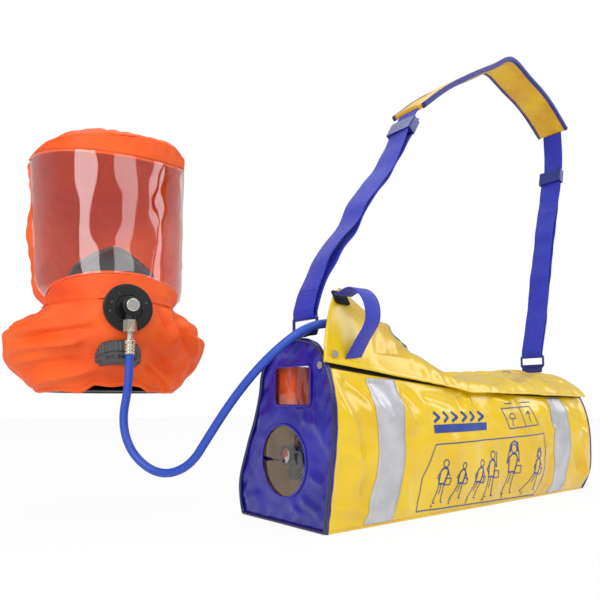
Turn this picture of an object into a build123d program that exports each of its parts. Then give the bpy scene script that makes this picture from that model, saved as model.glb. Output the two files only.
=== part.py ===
from build123d import *
import math
import os

os.makedirs("parts", exist_ok=True)

# Emergency escape breathing set: a smoke hood joined by a hose to an air cylinder in a carry bag.
# Frame: X runs along the bag, -Y is its front, +Z is up, origin at the middle of the bag's base.
# Every length is in millimetres.

# ---- bag
bag_length = 600
base_depth = 170
base_board = 3
fabric = 2
piping = 4
hinge_y = 42
hinge_z = 186
hinge_gap = 0.5
mouth_binding = 8
tape_width = 48
tape_thickness = 0.5
window_diameter = 90
window_width = 71
window_height = 49
window_film = 0.8
window_lap = 5
stud_radius = 4.5
stud_height = 1.5
# ---- shoulder strap
webbing_width = 38
webbing = 1.6
layer_gap = 7
bar_radius = 2
ring_height = 20
ring_width = 43
pad_width = 60
pad_thickness = 8
pad_binding_width = 5
slider_length = 26
slider_wall = 3
running_gap = 0.4
running_fit = 0.05
# ---- air supply in the bag
cylinder_radius = 57.5
cylinder_wall = 4
dome_depth = 42
neck_length = 6
cylinder_to_panel = 66
cylinder_y = 16
band_width = 40
band_thickness = 2
hose_radius = 5.5
ferrule_radius = 6.8
ferrule_length = 22
gauge_radius = 12.5
reducer_radius = 17
knob_radius = 10
# ---- hood, in its own frame: origin at the middle of the hem, -Y is the face
hood_to_bag = 107
hood_place = Location((-bag_length / 2 - hood_to_bag, 318, 168), (0, 0, -10.5))
port_z = 110
flange_radius = 33
flange_thickness = 5
flange_y = -152
banjo_y = flange_y - flange_thickness
neck_radius = 19
neck_bore = 15
seat_fit = 0.15
mask_wall = 3
bolt_radius = 4
banjo_radius = 12
banjo_width = 22
stem_radius = 4
valve_radius = 31
valve_depth = 20
valve_tilt = 58
banjo_middle = banjo_y - banjo_width / 2

bag_left = -bag_length / 2
bag_right = bag_length / 2
panel_x = bag_right - fabric
base_y = base_depth / 2
cylinder_start = cylinder_to_panel - panel_x
cylinder_end = panel_x - cylinder_to_panel
cylinder_z = base_board + band_thickness + cylinder_radius


def write_piece(piece, label):
    """Name a finished piece and write its STEP file."""
    piece.label = label
    export_step(piece, f"parts/{label}.step")


def write_hood_piece(piece, label):
    """Write a piece that was drawn in the hood's own frame."""
    write_piece(piece.moved(hood_place), label)


def across(x):
    """Section plane across the bag at x, drawn in (y, z)."""
    return Plane(origin=(x, 0, 0), x_dir=(0, 1, 0), z_dir=(1, 0, 0))


def parallel(points, distance):
    """The same points moved sideways, to the left of the way they run."""
    shifted = []
    last = len(points) - 1
    for i, (u, v) in enumerate(points):
        u0, v0 = points[max(i - 1, 0)]
        u1, v1 = points[min(i + 1, last)]
        run = math.hypot(u1 - u0, v1 - v0)
        shifted.append((u - distance * (v1 - v0) / run, v + distance * (u1 - u0) / run))
    return shifted


def strip(points, thickness):
    """Closed outline of a thin curved wall that lies to the left of the points."""
    inner = parallel(points, thickness)
    with BuildLine() as outline:
        Spline(*points)
        Line(points[-1], inner[-1])
        Spline(*inner[::-1])
        Line(inner[0], points[0])
    return outline.line.edges()


def bent_slab(points, radii, thickness):
    """Closed outline of a slab that follows the points with round bends, to the left of them."""
    with BuildLine() as outline:
        FilletPolyline(*points, radius=radii)
        offset(amount=thickness, side=Side.LEFT, closed=True)
    return outline.line.edges()


# ======== Bag panels: sections are (y, z) points, from the base upwards ========

front_sections = {
    -panel_x: [(-base_y, base_board), (-91, 40), (-98, 85), (-102, 126), (-98, 162), (-89, 190)],
    -150: [(-base_y, base_board), (-96, 38), (-102, 80), (-102, 122), (-98, 152), (-92, 176)],
    40: [(-base_y, base_board), (-97, 35), (-103, 76), (-102, 116), (-98, 143), (-91, 164)],
    panel_x: [(-base_y, base_board), (-98, 30), (-102, 74), (-100, 113), (-94, 140), (-86, 160)],
}
back_sections = {
    -panel_x: [(base_y, base_board), (93, 36), (76, 90), (56, 134), (45, 168), (hinge_y, hinge_z)],
    0: [(base_y, base_board), (95, 36), (84, 90), (66, 134), (51, 166), (hinge_y, hinge_z)],
    panel_x: [(base_y, base_board), (95, 36), (85, 88), (68, 132), (52, 165), (hinge_y, hinge_z)],
}
crown_left = [(-72, 217), (-40, 229), (-2, 225), (28, 209)]
crown_right = [(-68, 186), (-40, 199), (5, 208), (32, 200)]


def end_points(side, crown):
    """Outline of an end panel: up its front edge, over the crown and down its back edge."""
    front = front_sections[side][1:]
    back = back_sections[side][:0:-1]
    return [(-base_y, 0)] + front + crown + back + [(base_y, 0)]


with BuildPart() as bag_base:
    with BuildSketch():
        Rectangle(2 * panel_x, base_depth)
    extrude(amount=base_board)
    fillet(bag_base.edges().filter_by(Axis.X).group_by(Axis.Z)[0], base_board / 2)
write_piece(bag_base.part, "bag_base")

with BuildPart() as bag_front:
    for x, points in front_sections.items():
        with BuildSketch(across(x)):
            make_face(strip(points, -fabric))
    loft()
write_piece(bag_front.part, "bag_front")

with BuildPart() as bag_back:
    for x, points in back_sections.items():
        with BuildSketch(across(x)):
            make_face(strip(points, fabric))
    loft()
write_piece(bag_back.part, "bag_back")

# Dark binding on the top edge of the front panel, which holds the loop half of the closure.
with BuildPart() as mouth_strip:
    for x, points in front_sections.items():
        top_y, top_z = points[-1]
        with BuildSketch(across(x)):
            Polygon(
                (top_y, top_z + 0.2),
                (top_y + 4.5, top_z + mouth_binding),
                (top_y + 4.5 + fabric, top_z + mouth_binding - 0.8),
                (top_y + fabric, top_z - 0.3),
                align=None,
            )
    loft()
write_piece(mouth_strip.part, "mouth_strip")

# Grey retroreflective tapes, sewn over the front panel.
for name, middle in (("tape_left", bag_left + 86), ("tape_right", bag_right - 100)):
    with BuildPart() as tape:
        for x, points in front_sections.items():
            with BuildSketch(across(x)):
                make_face(strip(parallel(points, seat_fit), tape_thickness))
        loft()
        with Locations((middle, -base_y, hinge_z / 2)):
            Box(tape_width, base_depth, 2 * hinge_z, mode=Mode.INTERSECT)
    write_piece(tape.part, name)

# ======== End panels, their windows and piping ========

window_round = (-3, 78)
window_square = (-21, 171)


def closed_outline(points):
    """Closed wire through an end panel's points, with its straight base."""
    with BuildLine() as outline:
        Spline(*points)
        Line(points[-1], points[0])
    return outline.line.edges()


def inset_points(points, amount):
    """An end panel's points moved inwards, with the base raised as much."""
    inner = parallel(points, -amount)
    inner[0] = (points[0][0] + amount, amount)
    inner[-1] = (points[-1][0] - amount, amount)
    return inner


left_points = end_points(-panel_x, crown_left)
right_points = end_points(panel_x, crown_right)

with BuildPart() as left_end_panel:
    with BuildSketch(across(bag_left)):
        make_face(closed_outline(left_points))
        with Locations(window_round):
            Circle(window_diameter / 2, mode=Mode.SUBTRACT)
        with Locations(window_square):
            Rectangle(window_width, window_height, mode=Mode.SUBTRACT)
    extrude(amount=fabric)
write_piece(left_end_panel.part, "left_end_panel")

with BuildPart() as right_end_panel:
    with BuildSketch(across(panel_x)):
        make_face(closed_outline(right_points))
    extrude(amount=fabric)
write_piece(right_end_panel.part, "right_end_panel")

with BuildPart() as round_window:
    with BuildSketch(across(-panel_x)):
        with Locations(window_round):
            Circle(window_diameter / 2 + window_lap)
    extrude(amount=window_film)
write_piece(round_window.part, "round_window")

with BuildPart() as square_window:
    with BuildSketch(across(-panel_x)):
        with Locations(window_square):
            Rectangle(window_width + 2 * window_lap, window_height + 2 * window_lap)
    extrude(amount=window_film)
write_piece(square_window.part, "square_window")

for name, points, outer_x, outward in (
    ("piping_left", left_points, bag_left, -1),
    ("piping_right", right_points, bag_right, 1),
):
    with BuildPart() as piping_cord:
        with BuildSketch(across(outer_x)):
            make_face(closed_outline(points))
            make_face(closed_outline(inset_points(points, piping)), mode=Mode.SUBTRACT)
        extrude(amount=outward * piping)
    write_piece(piping_cord.part, name)

with BuildPart() as end_stud:
    with BuildSketch(across(bag_left)):
        with Locations((-74, 194)):
            Circle(stud_radius)
    extrude(amount=-stud_height)
write_piece(end_stud.part, "end_stud")

# ======== Flap: hinged along the back, pulled up at its left end ========

flap_skew = 1.5
flap_corner_x = bag_left - piping
flap_corner_y = -88
skew_length = math.hypot(flap_skew, 1)
skew_plane = Plane(
    origin=(flap_corner_x - flap_skew * flap_corner_y, 0, 0),
    x_dir=(flap_skew, 1, 0),
    z_dir=(1, -flap_skew, 0),
)
flap_start = (hinge_y, hinge_z + fabric + hinge_gap)
raised_section = [flap_start, (22, 214), (-14, 262), (-48, 296), (-70, 276), (-85, 236), (-91, 197)]
flap_sections = {
    -100: [flap_start, (24, 205), (-8, 217), (-44, 217), (-73, 206), (-92, 189), (-100, 174)],
    -45: [flap_start, (22, 192), (-8, 190), (-42, 186), (-75, 185), (-96, 177), (-104, 165)],
    35: [flap_start, (24, 195), (-7, 196), (-42, 193), (-74, 187), (-94, 177), (-103, 165)],
    120: [flap_start, (24, 199), (-6, 203), (-42, 198), (-72, 189), (-92, 177), (-101, 165)],
    210: [flap_start, (24, 201), (-5, 206), (-42, 200), (-71, 189), (-90, 175), (-99, 163)],
    panel_x - 1: [flap_start, (24, 201), (-4, 208), (-42, 201), (-71, 188), (-89, 173), (-97, 162)],
}

with BuildPart() as flap:
    with BuildSketch(skew_plane):
        make_face(strip([(y * skew_length, z) for y, z in raised_section], fabric))
    for x, points in flap_sections.items():
        with BuildSketch(across(x)):
            make_face(strip(points, fabric))
    loft(ruled=True)
write_piece(flap.part, "flap")

patch_plane = Plane(origin=(bag_left + 38, -67.3, 278), x_dir=(1, 0.17, 0), z_dir=(0.15, -0.88, 0.45))
with BuildPart() as hook_patch:
    with BuildSketch(patch_plane):
        RectangleRounded(28, 18, 3)
    extrude(amount=fabric)
write_piece(hook_patch.part, "hook_patch")

loop_points = [(-73, 281), (-96, 286), (-117, 270), (-122, 246), (-106, 222), (-91.5, 203)]
loop_width = 28
with BuildPart() as pull_loop:
    with BuildSketch(across(bag_left + 24)):
        make_face(strip(loop_points, -webbing))
    extrude(amount=loop_width)
write_piece(pull_loop.part, "pull_loop")

with BuildPart() as flap_stud:
    with BuildSketch(Plane(origin=(bag_left + 7, -91.2, 206), x_dir=(1, 0, 0), z_dir=(0, -1, 0))):
        Circle(stud_radius)
    extrude(amount=stud_height)
write_piece(flap_stud.part, "flap_stud")

# ======== Orange pouch that holds the hood, above the cylinder ========

pouch_back = 34
pouch_front = -8
pouch_bottom = cylinder_z + cylinder_radius + band_thickness + 0.2
pouch_left = bag_left + 10
pouch_right = bag_right - 100
pouch_mouth = 196
pouch_top = 160
with BuildPart() as hood_pouch:
    with BuildSketch(Plane(origin=(0, pouch_back, 0), x_dir=(1, 0, 0), z_dir=(0, -1, 0))):
        Polygon(
            (pouch_left, pouch_bottom),
            (pouch_right, pouch_bottom),
            (pouch_right, pouch_top),
            (pouch_left + 180, pouch_top),
            (pouch_left + 130, pouch_mouth),
            (pouch_left, pouch_mouth),
            align=None,
        )
    extrude(amount=pouch_back - pouch_front)
    fillet(hood_pouch.edges().filter_by(Axis.Z), 10)
    offset(amount=-fabric, openings=hood_pouch.faces().sort_by(Axis.Z)[-1])
write_piece(hood_pouch.part, "hood_pouch")

# ======== Air cylinder, valve, gauge and pressure reducer ========

cylinder_plane = Plane(
    origin=(cylinder_start, cylinder_y, cylinder_z),
    x_dir=(1, 0, 0),
    z_dir=(0, -1, 0),
)
vessel_neck = 13
cylinder_run = cylinder_end - cylinder_start


def cylinder_profile(wall):
    """Half section of the vessel: domed shoulder, straight wall and domed end."""
    r = cylinder_radius - wall
    rise = dome_depth - wall
    shoulder = neck_length + dome_depth
    far = cylinder_run - dome_depth
    with BuildLine() as half:
        EllipticalCenterArc((shoulder, 0), rise, r, start_angle=90, arc_size=90)
        Line((shoulder, r), (far, r))
        EllipticalCenterArc((far, 0), rise, r, start_angle=0, arc_size=90)
        Line((far + rise, 0), (shoulder - rise, 0))
    return half.line.edges()


with BuildPart() as air_cylinder:
    with BuildSketch(cylinder_plane):
        make_face(cylinder_profile(0))
    revolve(axis=Axis((0, cylinder_y, cylinder_z), (1, 0, 0)))
    with BuildSketch(across(cylinder_start)):
        with Locations((cylinder_y, cylinder_z)):
            Circle(vessel_neck)
    extrude(amount=dome_depth / 2)
    with BuildSketch(cylinder_plane):
        make_face(cylinder_profile(cylinder_wall))
    revolve(axis=Axis((0, cylinder_y, cylinder_z), (1, 0, 0)), mode=Mode.SUBTRACT)
    with BuildSketch(across(cylinder_start)):
        with Locations((cylinder_y, cylinder_z)):
            Circle(vessel_neck - cylinder_wall)
    extrude(amount=dome_depth / 2, mode=Mode.SUBTRACT)
write_piece(air_cylinder.part, "air_cylinder")

for name, x in (("cylinder_band_left", cylinder_start + 112), ("cylinder_band_right", cylinder_end - 102)):
    with BuildPart() as band:
        with BuildSketch(across(x - band_width / 2)):
            with Locations((cylinder_y, cylinder_z)):
                Circle(cylinder_radius + band_thickness)
                Circle(cylinder_radius, mode=Mode.SUBTRACT)
        extrude(amount=band_width)
    write_piece(band.part, name)

block_depth = 30
block_x = cylinder_start - block_depth
block_face = across(block_x)
gauge_center = (24, 82)
knob_center = (0, 75)
spindle_radius = 3
with BuildPart() as cylinder_valve:
    with BuildSketch(block_face):
        with Locations((cylinder_y - 3, cylinder_z + 8)):
            RectangleRounded(42, 44, 5)
    extrude(amount=block_depth)
    with BuildSketch(block_face):
        with Locations(knob_center):
            Circle(spindle_radius)
    extrude(amount=-6)
write_piece(cylinder_valve.part, "cylinder_valve")

gauge_case_depth = 12
needle_pin = 0.9
with BuildPart() as gauge_case:
    with BuildSketch(block_face):
        with Locations(gauge_center):
            Circle(5)
    extrude(amount=-4)
    with BuildSketch(across(block_x - 4)):
        with Locations(gauge_center):
            Circle(gauge_radius)
    extrude(amount=-gauge_case_depth)
    with BuildSketch(across(block_x - 4 - gauge_case_depth)):
        with Locations(gauge_center):
            Circle(gauge_radius - 1.5)
    extrude(amount=7, mode=Mode.SUBTRACT)
write_piece(gauge_case.part, "gauge_case")

dial_x = block_x - 4 - gauge_case_depth + 7
with BuildPart() as gauge_dial:
    with BuildSketch(across(dial_x)):
        with Locations(gauge_center):
            Circle(gauge_radius - 1.5 - seat_fit)
    extrude(amount=-1)
    with BuildSketch(across(dial_x - 1)):
        with Locations(gauge_center):
            Circle(needle_pin)
    extrude(amount=-1.6)
write_piece(gauge_dial.part, "gauge_dial")

with BuildPart() as gauge_needle:
    with BuildSketch(across(dial_x - 1 - running_gap)):
        with Locations(gauge_center):
            Circle(2)
        with Locations((gauge_center[0], gauge_center[1] + 3.6)):
            Rectangle(1.2, 8)
        with Locations(gauge_center):
            Circle(needle_pin + running_fit, mode=Mode.SUBTRACT)
    extrude(amount=-1)
write_piece(gauge_needle.part, "gauge_needle")

with BuildPart() as gauge_glass:
    with BuildSketch(across(dial_x - 6.8)):
        with Locations(gauge_center):
            Circle(gauge_radius - 1.5 - seat_fit)
    extrude(amount=1.4)
write_piece(gauge_glass.part, "gauge_glass")

with BuildPart() as valve_handwheel:
    with BuildSketch(across(block_x - 1)):
        with Locations(knob_center):
            Circle(knob_radius)
            with PolarLocations(knob_radius + 0.6, 10):
                Circle(1.5, mode=Mode.SUBTRACT)
            Circle(spindle_radius + running_fit, mode=Mode.SUBTRACT)
    extrude(amount=-5.4)
    with BuildSketch(across(block_x - 6.4)):
        with Locations(knob_center):
            Circle(knob_radius - 1)
    extrude(amount=-6)
write_piece(valve_handwheel.part, "valve_handwheel")

reducer_y = -60
reducer_z = 84
reducer_end = bag_left + 95
relief_x = bag_left + 78
with BuildPart() as pressure_reducer:
    with BuildSketch(across(block_x)):
        with Locations((reducer_y, reducer_z)):
            Circle(reducer_radius)
    extrude(amount=reducer_end - block_x)
    fillet(pressure_reducer.edges(), 2)
    with BuildSketch(Plane.XY.offset(reducer_z)):
        with Locations((relief_x, reducer_y)):
            RegularPolygon(6, 6)
    extrude(amount=reducer_radius + 8)
write_piece(pressure_reducer.part, "pressure_reducer")

valve_side = cylinder_y - 3 - 21
reducer_side = reducer_y + reducer_radius
link_x = block_x + block_depth / 2
with BuildPart() as high_pressure_link:
    with BuildSketch(Plane(origin=(link_x, reducer_side - 2, reducer_z), z_dir=(0, 1, 0))):
        Circle(7)
    extrude(amount=valve_side - reducer_side + 2)
    with BuildSketch(across(link_x - 10)):
        with Locations((reducer_y, reducer_z)):
            Circle(reducer_radius)
    extrude(amount=20, mode=Mode.SUBTRACT)
write_piece(high_pressure_link.part, "high_pressure_link")

outlet_x = bag_left + 108
outlet_top = reducer_z + 20
with BuildPart() as reducer_outlet:
    with BuildSketch(across(reducer_end)):
        with Locations((reducer_y, reducer_z)):
            Circle(8)
    extrude(amount=outlet_x - reducer_end + 8)
    with BuildSketch(Plane.XY.offset(reducer_z)):
        with Locations((outlet_x, reducer_y)):
            Circle(5)
    extrude(amount=outlet_top - reducer_z)
write_piece(reducer_outlet.part, "reducer_outlet")

with BuildPart() as bag_ferrule:
    with BuildSketch(Plane.XY.offset(outlet_top)):
        with Locations((outlet_x, reducer_y)):
            Circle(ferrule_radius)
    extrude(amount=ferrule_length)
write_piece(bag_ferrule.part, "bag_ferrule")

# ======== Hose from the hood to the reducer ========

hose_start = hood_place.position + Vector(0, banjo_middle, port_z - 64).rotate(Axis.Z, -10.5)
hose_route = [
    (hose_start.X, hose_start.Y, hose_start.Z),
    (hose_start.X, hose_start.Y, 174),
    (bag_left - 146, 155, 124),
    (bag_left - 137, 140, 82),
    (bag_left - 114, 106, 57),
    (bag_left - 91, 70, 70),
    (bag_left - 77, 47, 110),
    (bag_left - 62, 22, 151),
    (bag_left - 44, -3, 188),
    (bag_left - 25, -29, 218),
    (bag_left - 2, -50, 241),
    (bag_left + 31, -60, 249),
    (bag_left + 63, -63, 238),
    (bag_left + 89, -62, 211),
    (bag_left + 103, -60, 180),
    (outlet_x, reducer_y, 150),
    (outlet_x, reducer_y, outlet_top + ferrule_length),
]
route_points = [Vector(*point) for point in hose_route]
hose_radii = []
for before, here, after in zip(route_points, route_points[1:], route_points[2:]):
    turn = math.radians((here - before).get_angle(after - here))
    shorter = min((here - before).length, (after - here).length)
    hose_radii.append(0.45 * shorter / math.tan(turn / 2))
print("hose radii:", [round(r) for r in hose_radii])

with BuildPart() as hose:
    with BuildLine() as hose_line:
        FilletPolyline(*hose_route, radius=hose_radii)
    with BuildSketch(Plane(origin=hose_route[0], z_dir=hose_line.line % 0)):
        Circle(hose_radius)
    sweep()
hose_length = hose_line.wires()[0].length
print("hose length:", round(hose_length), "volume share:",
      round(hose.part.volume / (math.pi * hose_radius**2 * hose_length), 4))
write_piece(hose.part, "hose")

# ======== Shoulder strap: drawn in the upright plane through both rings ========

strap_turn = math.radians(2.88)
strap_plane = Plane(
    origin=(0, -9.4, 0),
    x_dir=(math.cos(strap_turn), math.sin(strap_turn), 0),
    z_dir=(math.sin(strap_turn), -math.cos(strap_turn), 0),
)
strap_half = strap_plane.offset(-webbing_width / 2)

left_leg = [
    (-63.1, 595.2),
    (-138, 474),
    (-180, 426),
    (-208, 384),
    (bag_left + 62, 352),
    (bag_left + 42, 321),
    (bag_left + 27, 292),
    (bag_left + 18, 265),
]
right_leg = [
    (414, 711.5),
    (416, 660),
    (398, 572),
    (374, 500),
    (346, 394),
    (bag_right + 30, 321),
    (bag_right + 10, 262),
    (bag_right + 5, 247),
]
left_bar = (bag_left + 18, 257.5)
right_bar = (bag_right + 5, 240)


def fold_webbing(leg, bar, turn_side, skip, free_end):
    """Webbing from the pad, down the leg, round the ring's bar and back up to the slider."""
    down = parallel(leg, turn_side * layer_gap / 2)
    up = parallel(leg, -turn_side * layer_gap / 2)[skip:][::-1]
    floor = bar[1] - bar_radius - webbing / 2 - running_gap / 2
    turn_in = (down[-1][0], floor)
    turn_out = (up[0][0], floor)
    last_run = Vector(*up[-1]) - Vector(*up[-2])
    end = (up[-2][0] + free_end * last_run.X, up[-2][1] + free_end * last_run.Y)
    points = down + [turn_in, turn_out] + up[:-1] + [end]
    bend = 0.48 * abs(turn_out[0] - turn_in[0])
    radii = [18] * (len(down) - 2) + [8, bend, bend, 8] + [18] * (len(up) - 2)
    return points, radii


for name, leg, bar, side, skip, end in (
    ("strap_left", left_leg, left_bar, -1, 0, 0.86),
    ("strap_right", right_leg, right_bar, 1, 1, 0.72),
):
    path, radii = fold_webbing(leg, bar, side, skip, end)
    with BuildPart() as leg_webbing:
        with BuildSketch(strap_half):
            with BuildLine():
                FilletPolyline(*path, radius=radii)
            trace(line_width=webbing)
        extrude(amount=webbing_width)
    write_piece(leg_webbing.part, name)

for name, bar in (("ring_left", left_bar), ("ring_right", right_bar)):
    ring_plane = Plane(
        origin=strap_plane.from_local_coords((bar[0], bar[1] - ring_height / 2, 0)),
        x_dir=strap_plane.z_dir,
        z_dir=strap_plane.x_dir,
    )
    with BuildSketch(ring_plane) as ring_outline:
        RectangleRounded(ring_width, ring_height, 3)
    ring_wire = ring_outline.sketch.faces()[0].outer_wire()
    with BuildPart() as ring:
        with BuildSketch(Plane(origin=ring_wire @ 0, z_dir=ring_wire % 0)):
            Circle(bar_radius)
        sweep(path=ring_wire)
    write_piece(ring.part, name)

for name, bar, foot in (
    ("tab_left", left_bar, [(bag_left - 3, 229.7), (bag_left + 2, 229.7)]),
    ("tab_right", right_bar, [(bag_right - 1, 208.4), (bag_right + 4, 208.4)]),
):
    lower_bar = (bar[0], bar[1] - ring_height)
    eye = bar_radius + running_gap
    with BuildPart() as tab:
        with BuildSketch(strap_half):
            with BuildLine():
                Polyline(
                    foot[0],
                    (lower_bar[0] - eye, lower_bar[1] + eye),
                    (lower_bar[0] + eye, lower_bar[1] - 1),
                    foot[1],
                    close=True,
                )
            make_face()
            with Locations(lower_bar):
                Circle(eye + webbing)
                Circle(eye - seat_fit, mode=Mode.SUBTRACT)
        extrude(amount=webbing_width)
    write_piece(tab.part, name)


def slider_body(start, finish, share):
    """Strap adjuster: a flat frame round both layers, with its bar between them."""
    along = Vector(finish[0] - start[0], finish[1] - start[1])
    middle = Vector(*start) + along * share
    centre = strap_plane.from_local_coords((middle.X, middle.Y, 0))
    direction = (strap_plane.x_dir * along.X + strap_plane.y_dir * along.Y).normalized()
    return Plane(origin=centre, x_dir=strap_plane.z_dir, z_dir=direction)


opening = layer_gap + webbing + 2 * running_gap
for name, leg, share in (("slider_left", left_leg[:2], 0.24), ("slider_right", right_leg[1:3], 0.5)):
    slider_plane = slider_body(leg[0], leg[1], share)
    print(name, "centre", slider_plane.origin, "axis", slider_plane.z_dir)
    with BuildPart() as slider:
        with BuildSketch(slider_plane.offset(-slider_length / 2)):
            RectangleRounded(
                webbing_width + 2 * (slider_wall + running_gap),
                opening + 2 * slider_wall,
                2,
            )
            Rectangle(webbing_width + 2 * running_gap, opening, mode=Mode.SUBTRACT)
            Rectangle(webbing_width + 2 * running_gap + 1, layer_gap - webbing - 2 * running_gap)
        extrude(amount=slider_length)
    write_piece(slider.part, name)

pad_points = [
    (-64, 595),
    (-16, 634),
    (61, 687),
    (141, 736),
    (206, 772),
    (289, 760),
    (366, 740),
    (418, 712),
]
pad_outline = bent_slab(pad_points, [60, 90, 90, 14, 90, 60], pad_thickness)
for name, start, width in (
    ("shoulder_pad", -pad_width / 2 + pad_binding_width, pad_width - 2 * pad_binding_width),
    ("pad_binding_front", pad_width / 2 - pad_binding_width, pad_binding_width),
    ("pad_binding_back", -pad_width / 2, pad_binding_width),
):
    with BuildPart() as pad:
        with BuildSketch(strap_plane.offset(start)):
            make_face(pad_outline)
        extrude(amount=width)
    write_piece(pad.part, name)

# ======== Hood: elliptical sections (z, half width, front, back) in the hood's frame ========

collar_sections = [
    (0, 98, -106, 90),
    (14, 117, -110, 104),
    (45, 144, -122, 122),
    (72, 148, -146, 125),
    (92, 146, -151, 122),
    (108, 128, -151, 112),
    (122, 95, -147, 98),
]
hood_sections = [
    (122, 95, -147, 98),
    (150, 108, -134, 111),
    (200, 112, -126, 115),
    (250, 114, -121, 117),
    (300, 115, -116, 117),
    (345, 117, -111, 115),
    (376, 113, -102, 107),
    (398, 92, -78, 84),
    (411, 60, -46, 54),
    (417, 28, -22, 30),
]


def ellipse_at(z, half_width, front, back, inset=0):
    """Elliptical section of the hood at height z, drawn on its own plane."""
    with BuildSketch(Plane.XY.offset(z)) as section:
        with Locations((0, (front + back) / 2)):
            Ellipse(half_width - inset, (back - front) / 2 - inset)
    return section.sketch.faces()[0]


def inner_sections(sections, wall):
    """The inner skin's sections: moved in and down square to the wall's slope."""
    profile = parallel([(width, z) for z, width, front, back in sections], wall)
    inner = []
    for (z, width, front, back), (inner_width, inner_z) in zip(sections, profile):
        step = width - inner_width
        inner.append((inner_z, inner_width, front + step, back - step))
    return inner


collar_inner = inner_sections(collar_sections, fabric)
collar_inner[0] = (-0.01, collar_inner[0][1], collar_inner[0][2], collar_inner[0][3])
collar_inner[-1] = (collar_sections[-1][0] + 0.01,) + tuple(collar_inner[-1][1:])
valve_plane = Plane(
    origin=(-7, -120, 66),
    x_dir=(1, 0, 0),
    z_dir=(0, -math.cos(math.radians(valve_tilt)), -math.sin(math.radians(valve_tilt))),
)


def face_plane(y):
    """Plane across the face port at depth y, looking out of the hood."""
    return Plane(origin=(0, y, port_z), x_dir=(1, 0, 0), z_dir=(0, -1, 0))


with BuildPart() as hood_collar:
    loft([ellipse_at(*section) for section in collar_sections])
    loft([ellipse_at(*section) for section in collar_inner], mode=Mode.SUBTRACT)
    with BuildSketch(face_plane(-100)):
        Circle(neck_radius + seat_fit)
    extrude(amount=80, mode=Mode.SUBTRACT)
    with BuildSketch(valve_plane.offset(-12)):
        Circle(valve_radius + seat_fit)
    extrude(amount=60, mode=Mode.SUBTRACT)
write_hood_piece(hood_collar.part, "hood_collar")

# The window region seen from the side: (y, z) corners of the clear front.
visor_corners = [(-200, 168), (-128, 160), (-60, 138), (-38, 132), (8, 366), (-60, 352), (-200, 336)]
hood_inner = inner_sections(hood_sections, fabric)
hood_inner[0] = (hood_sections[0][0] - 0.01,) + tuple(hood_inner[0][1:])
hood_inner[-1] = (hood_sections[-1][0] - fabric,) + tuple(hood_inner[-1][1:])

with BuildPart() as hood_whole:
    loft([ellipse_at(*section) for section in hood_sections])
    loft([ellipse_at(*section) for section in hood_inner], mode=Mode.SUBTRACT)
    with BuildSketch(face_plane(-100)):
        Circle(neck_radius + seat_fit)
    extrude(amount=80, mode=Mode.SUBTRACT)

with BuildPart() as visor:
    add(hood_whole.part)
    with BuildSketch(across(-150)):
        Polygon(*visor_corners, align=None)
    extrude(amount=300, mode=Mode.INTERSECT)
write_hood_piece(visor.part, "visor")

with BuildPart() as hood_shell:
    add(hood_whole.part)
    with BuildSketch(across(-150)):
        Polygon(*visor_corners, align=None)
    extrude(amount=300, mode=Mode.SUBTRACT)
write_hood_piece(hood_shell.part, "hood_shell")

# Neck seal: a flat rim under the hem and a cone up to the neck opening.
seal_thickness = 1.5
neck_half_width = 52
neck_half_depth = 56
seal_rise = 56
seal_bottom = (0, 97, -105, 89)
seal_top = (seal_rise, neck_half_width, -neck_half_depth - 8, neck_half_depth - 8)
with BuildPart() as neck_seal:
    with BuildSketch(Plane.XY.offset(-seal_thickness)):
        with Locations((0, -8)):
            Ellipse(98, 98)
            Ellipse(80, 80, mode=Mode.SUBTRACT)
    extrude(amount=seal_thickness)
    loft([ellipse_at(0, 86, -92, 76), ellipse_at(*seal_top)])
    loft(
        [ellipse_at(-seal_thickness, 84, -90, 74), ellipse_at(seal_rise + 0.01, *seal_top[1:], 2)],
        mode=Mode.SUBTRACT,
    )
write_hood_piece(neck_seal.part, "neck_seal")

# Oronasal mask: sections (y, centre z, half width, half height), face side first.
mask_sections = [(-58, 148, 60, 52), (-88, 144, 56, 56), (-110, 133, 44, 46), (-126, 113, 30, 30)]


def mask_section(y, centre_z, half_width, half_height):
    """Elliptical section of the mask at depth y."""
    with BuildSketch(Plane(origin=(0, y, centre_z), x_dir=(1, 0, 0), z_dir=(0, -1, 0))) as section:
        Ellipse(half_width, half_height)
    return section.sketch.faces()[0]


with BuildPart() as oronasal_mask:
    loft([mask_section(*section) for section in mask_sections])
    hollow = [(y, z, w - mask_wall, h - mask_wall) for y, z, w, h in mask_sections]
    hollow[0] = (mask_sections[0][0] + 0.01,) + hollow[0][1:]
    hollow[-1] = (mask_sections[-1][0] + mask_wall,) + hollow[-1][1:]
    loft([mask_section(*section) for section in hollow], mode=Mode.SUBTRACT)
    with BuildSketch(face_plane(-110)):
        Circle(neck_radius + seat_fit)
    extrude(amount=40, mode=Mode.SUBTRACT)
write_hood_piece(oronasal_mask.part, "oronasal_mask")

neck_back = -122
ring_outer = 19.5
with BuildPart() as connector:
    with BuildSketch(face_plane(flange_y)):
        Circle(flange_radius)
    extrude(amount=flange_thickness)
    fillet(connector.edges().group_by(Axis.Y)[0], 2)
    with BuildSketch(face_plane(flange_y - flange_thickness)):
        Circle(ring_outer)
        Circle(ring_outer - 2, mode=Mode.SUBTRACT)
    extrude(amount=1.2)
    with BuildSketch(face_plane(flange_y)):
        Circle(neck_radius)
        Circle(neck_bore, mode=Mode.SUBTRACT)
    extrude(amount=flange_y - neck_back)
    with BuildSketch(face_plane(flange_y)):
        Circle(bolt_radius + seat_fit)
    extrude(amount=flange_thickness, mode=Mode.SUBTRACT)
write_hood_piece(connector.part, "connector")

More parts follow.
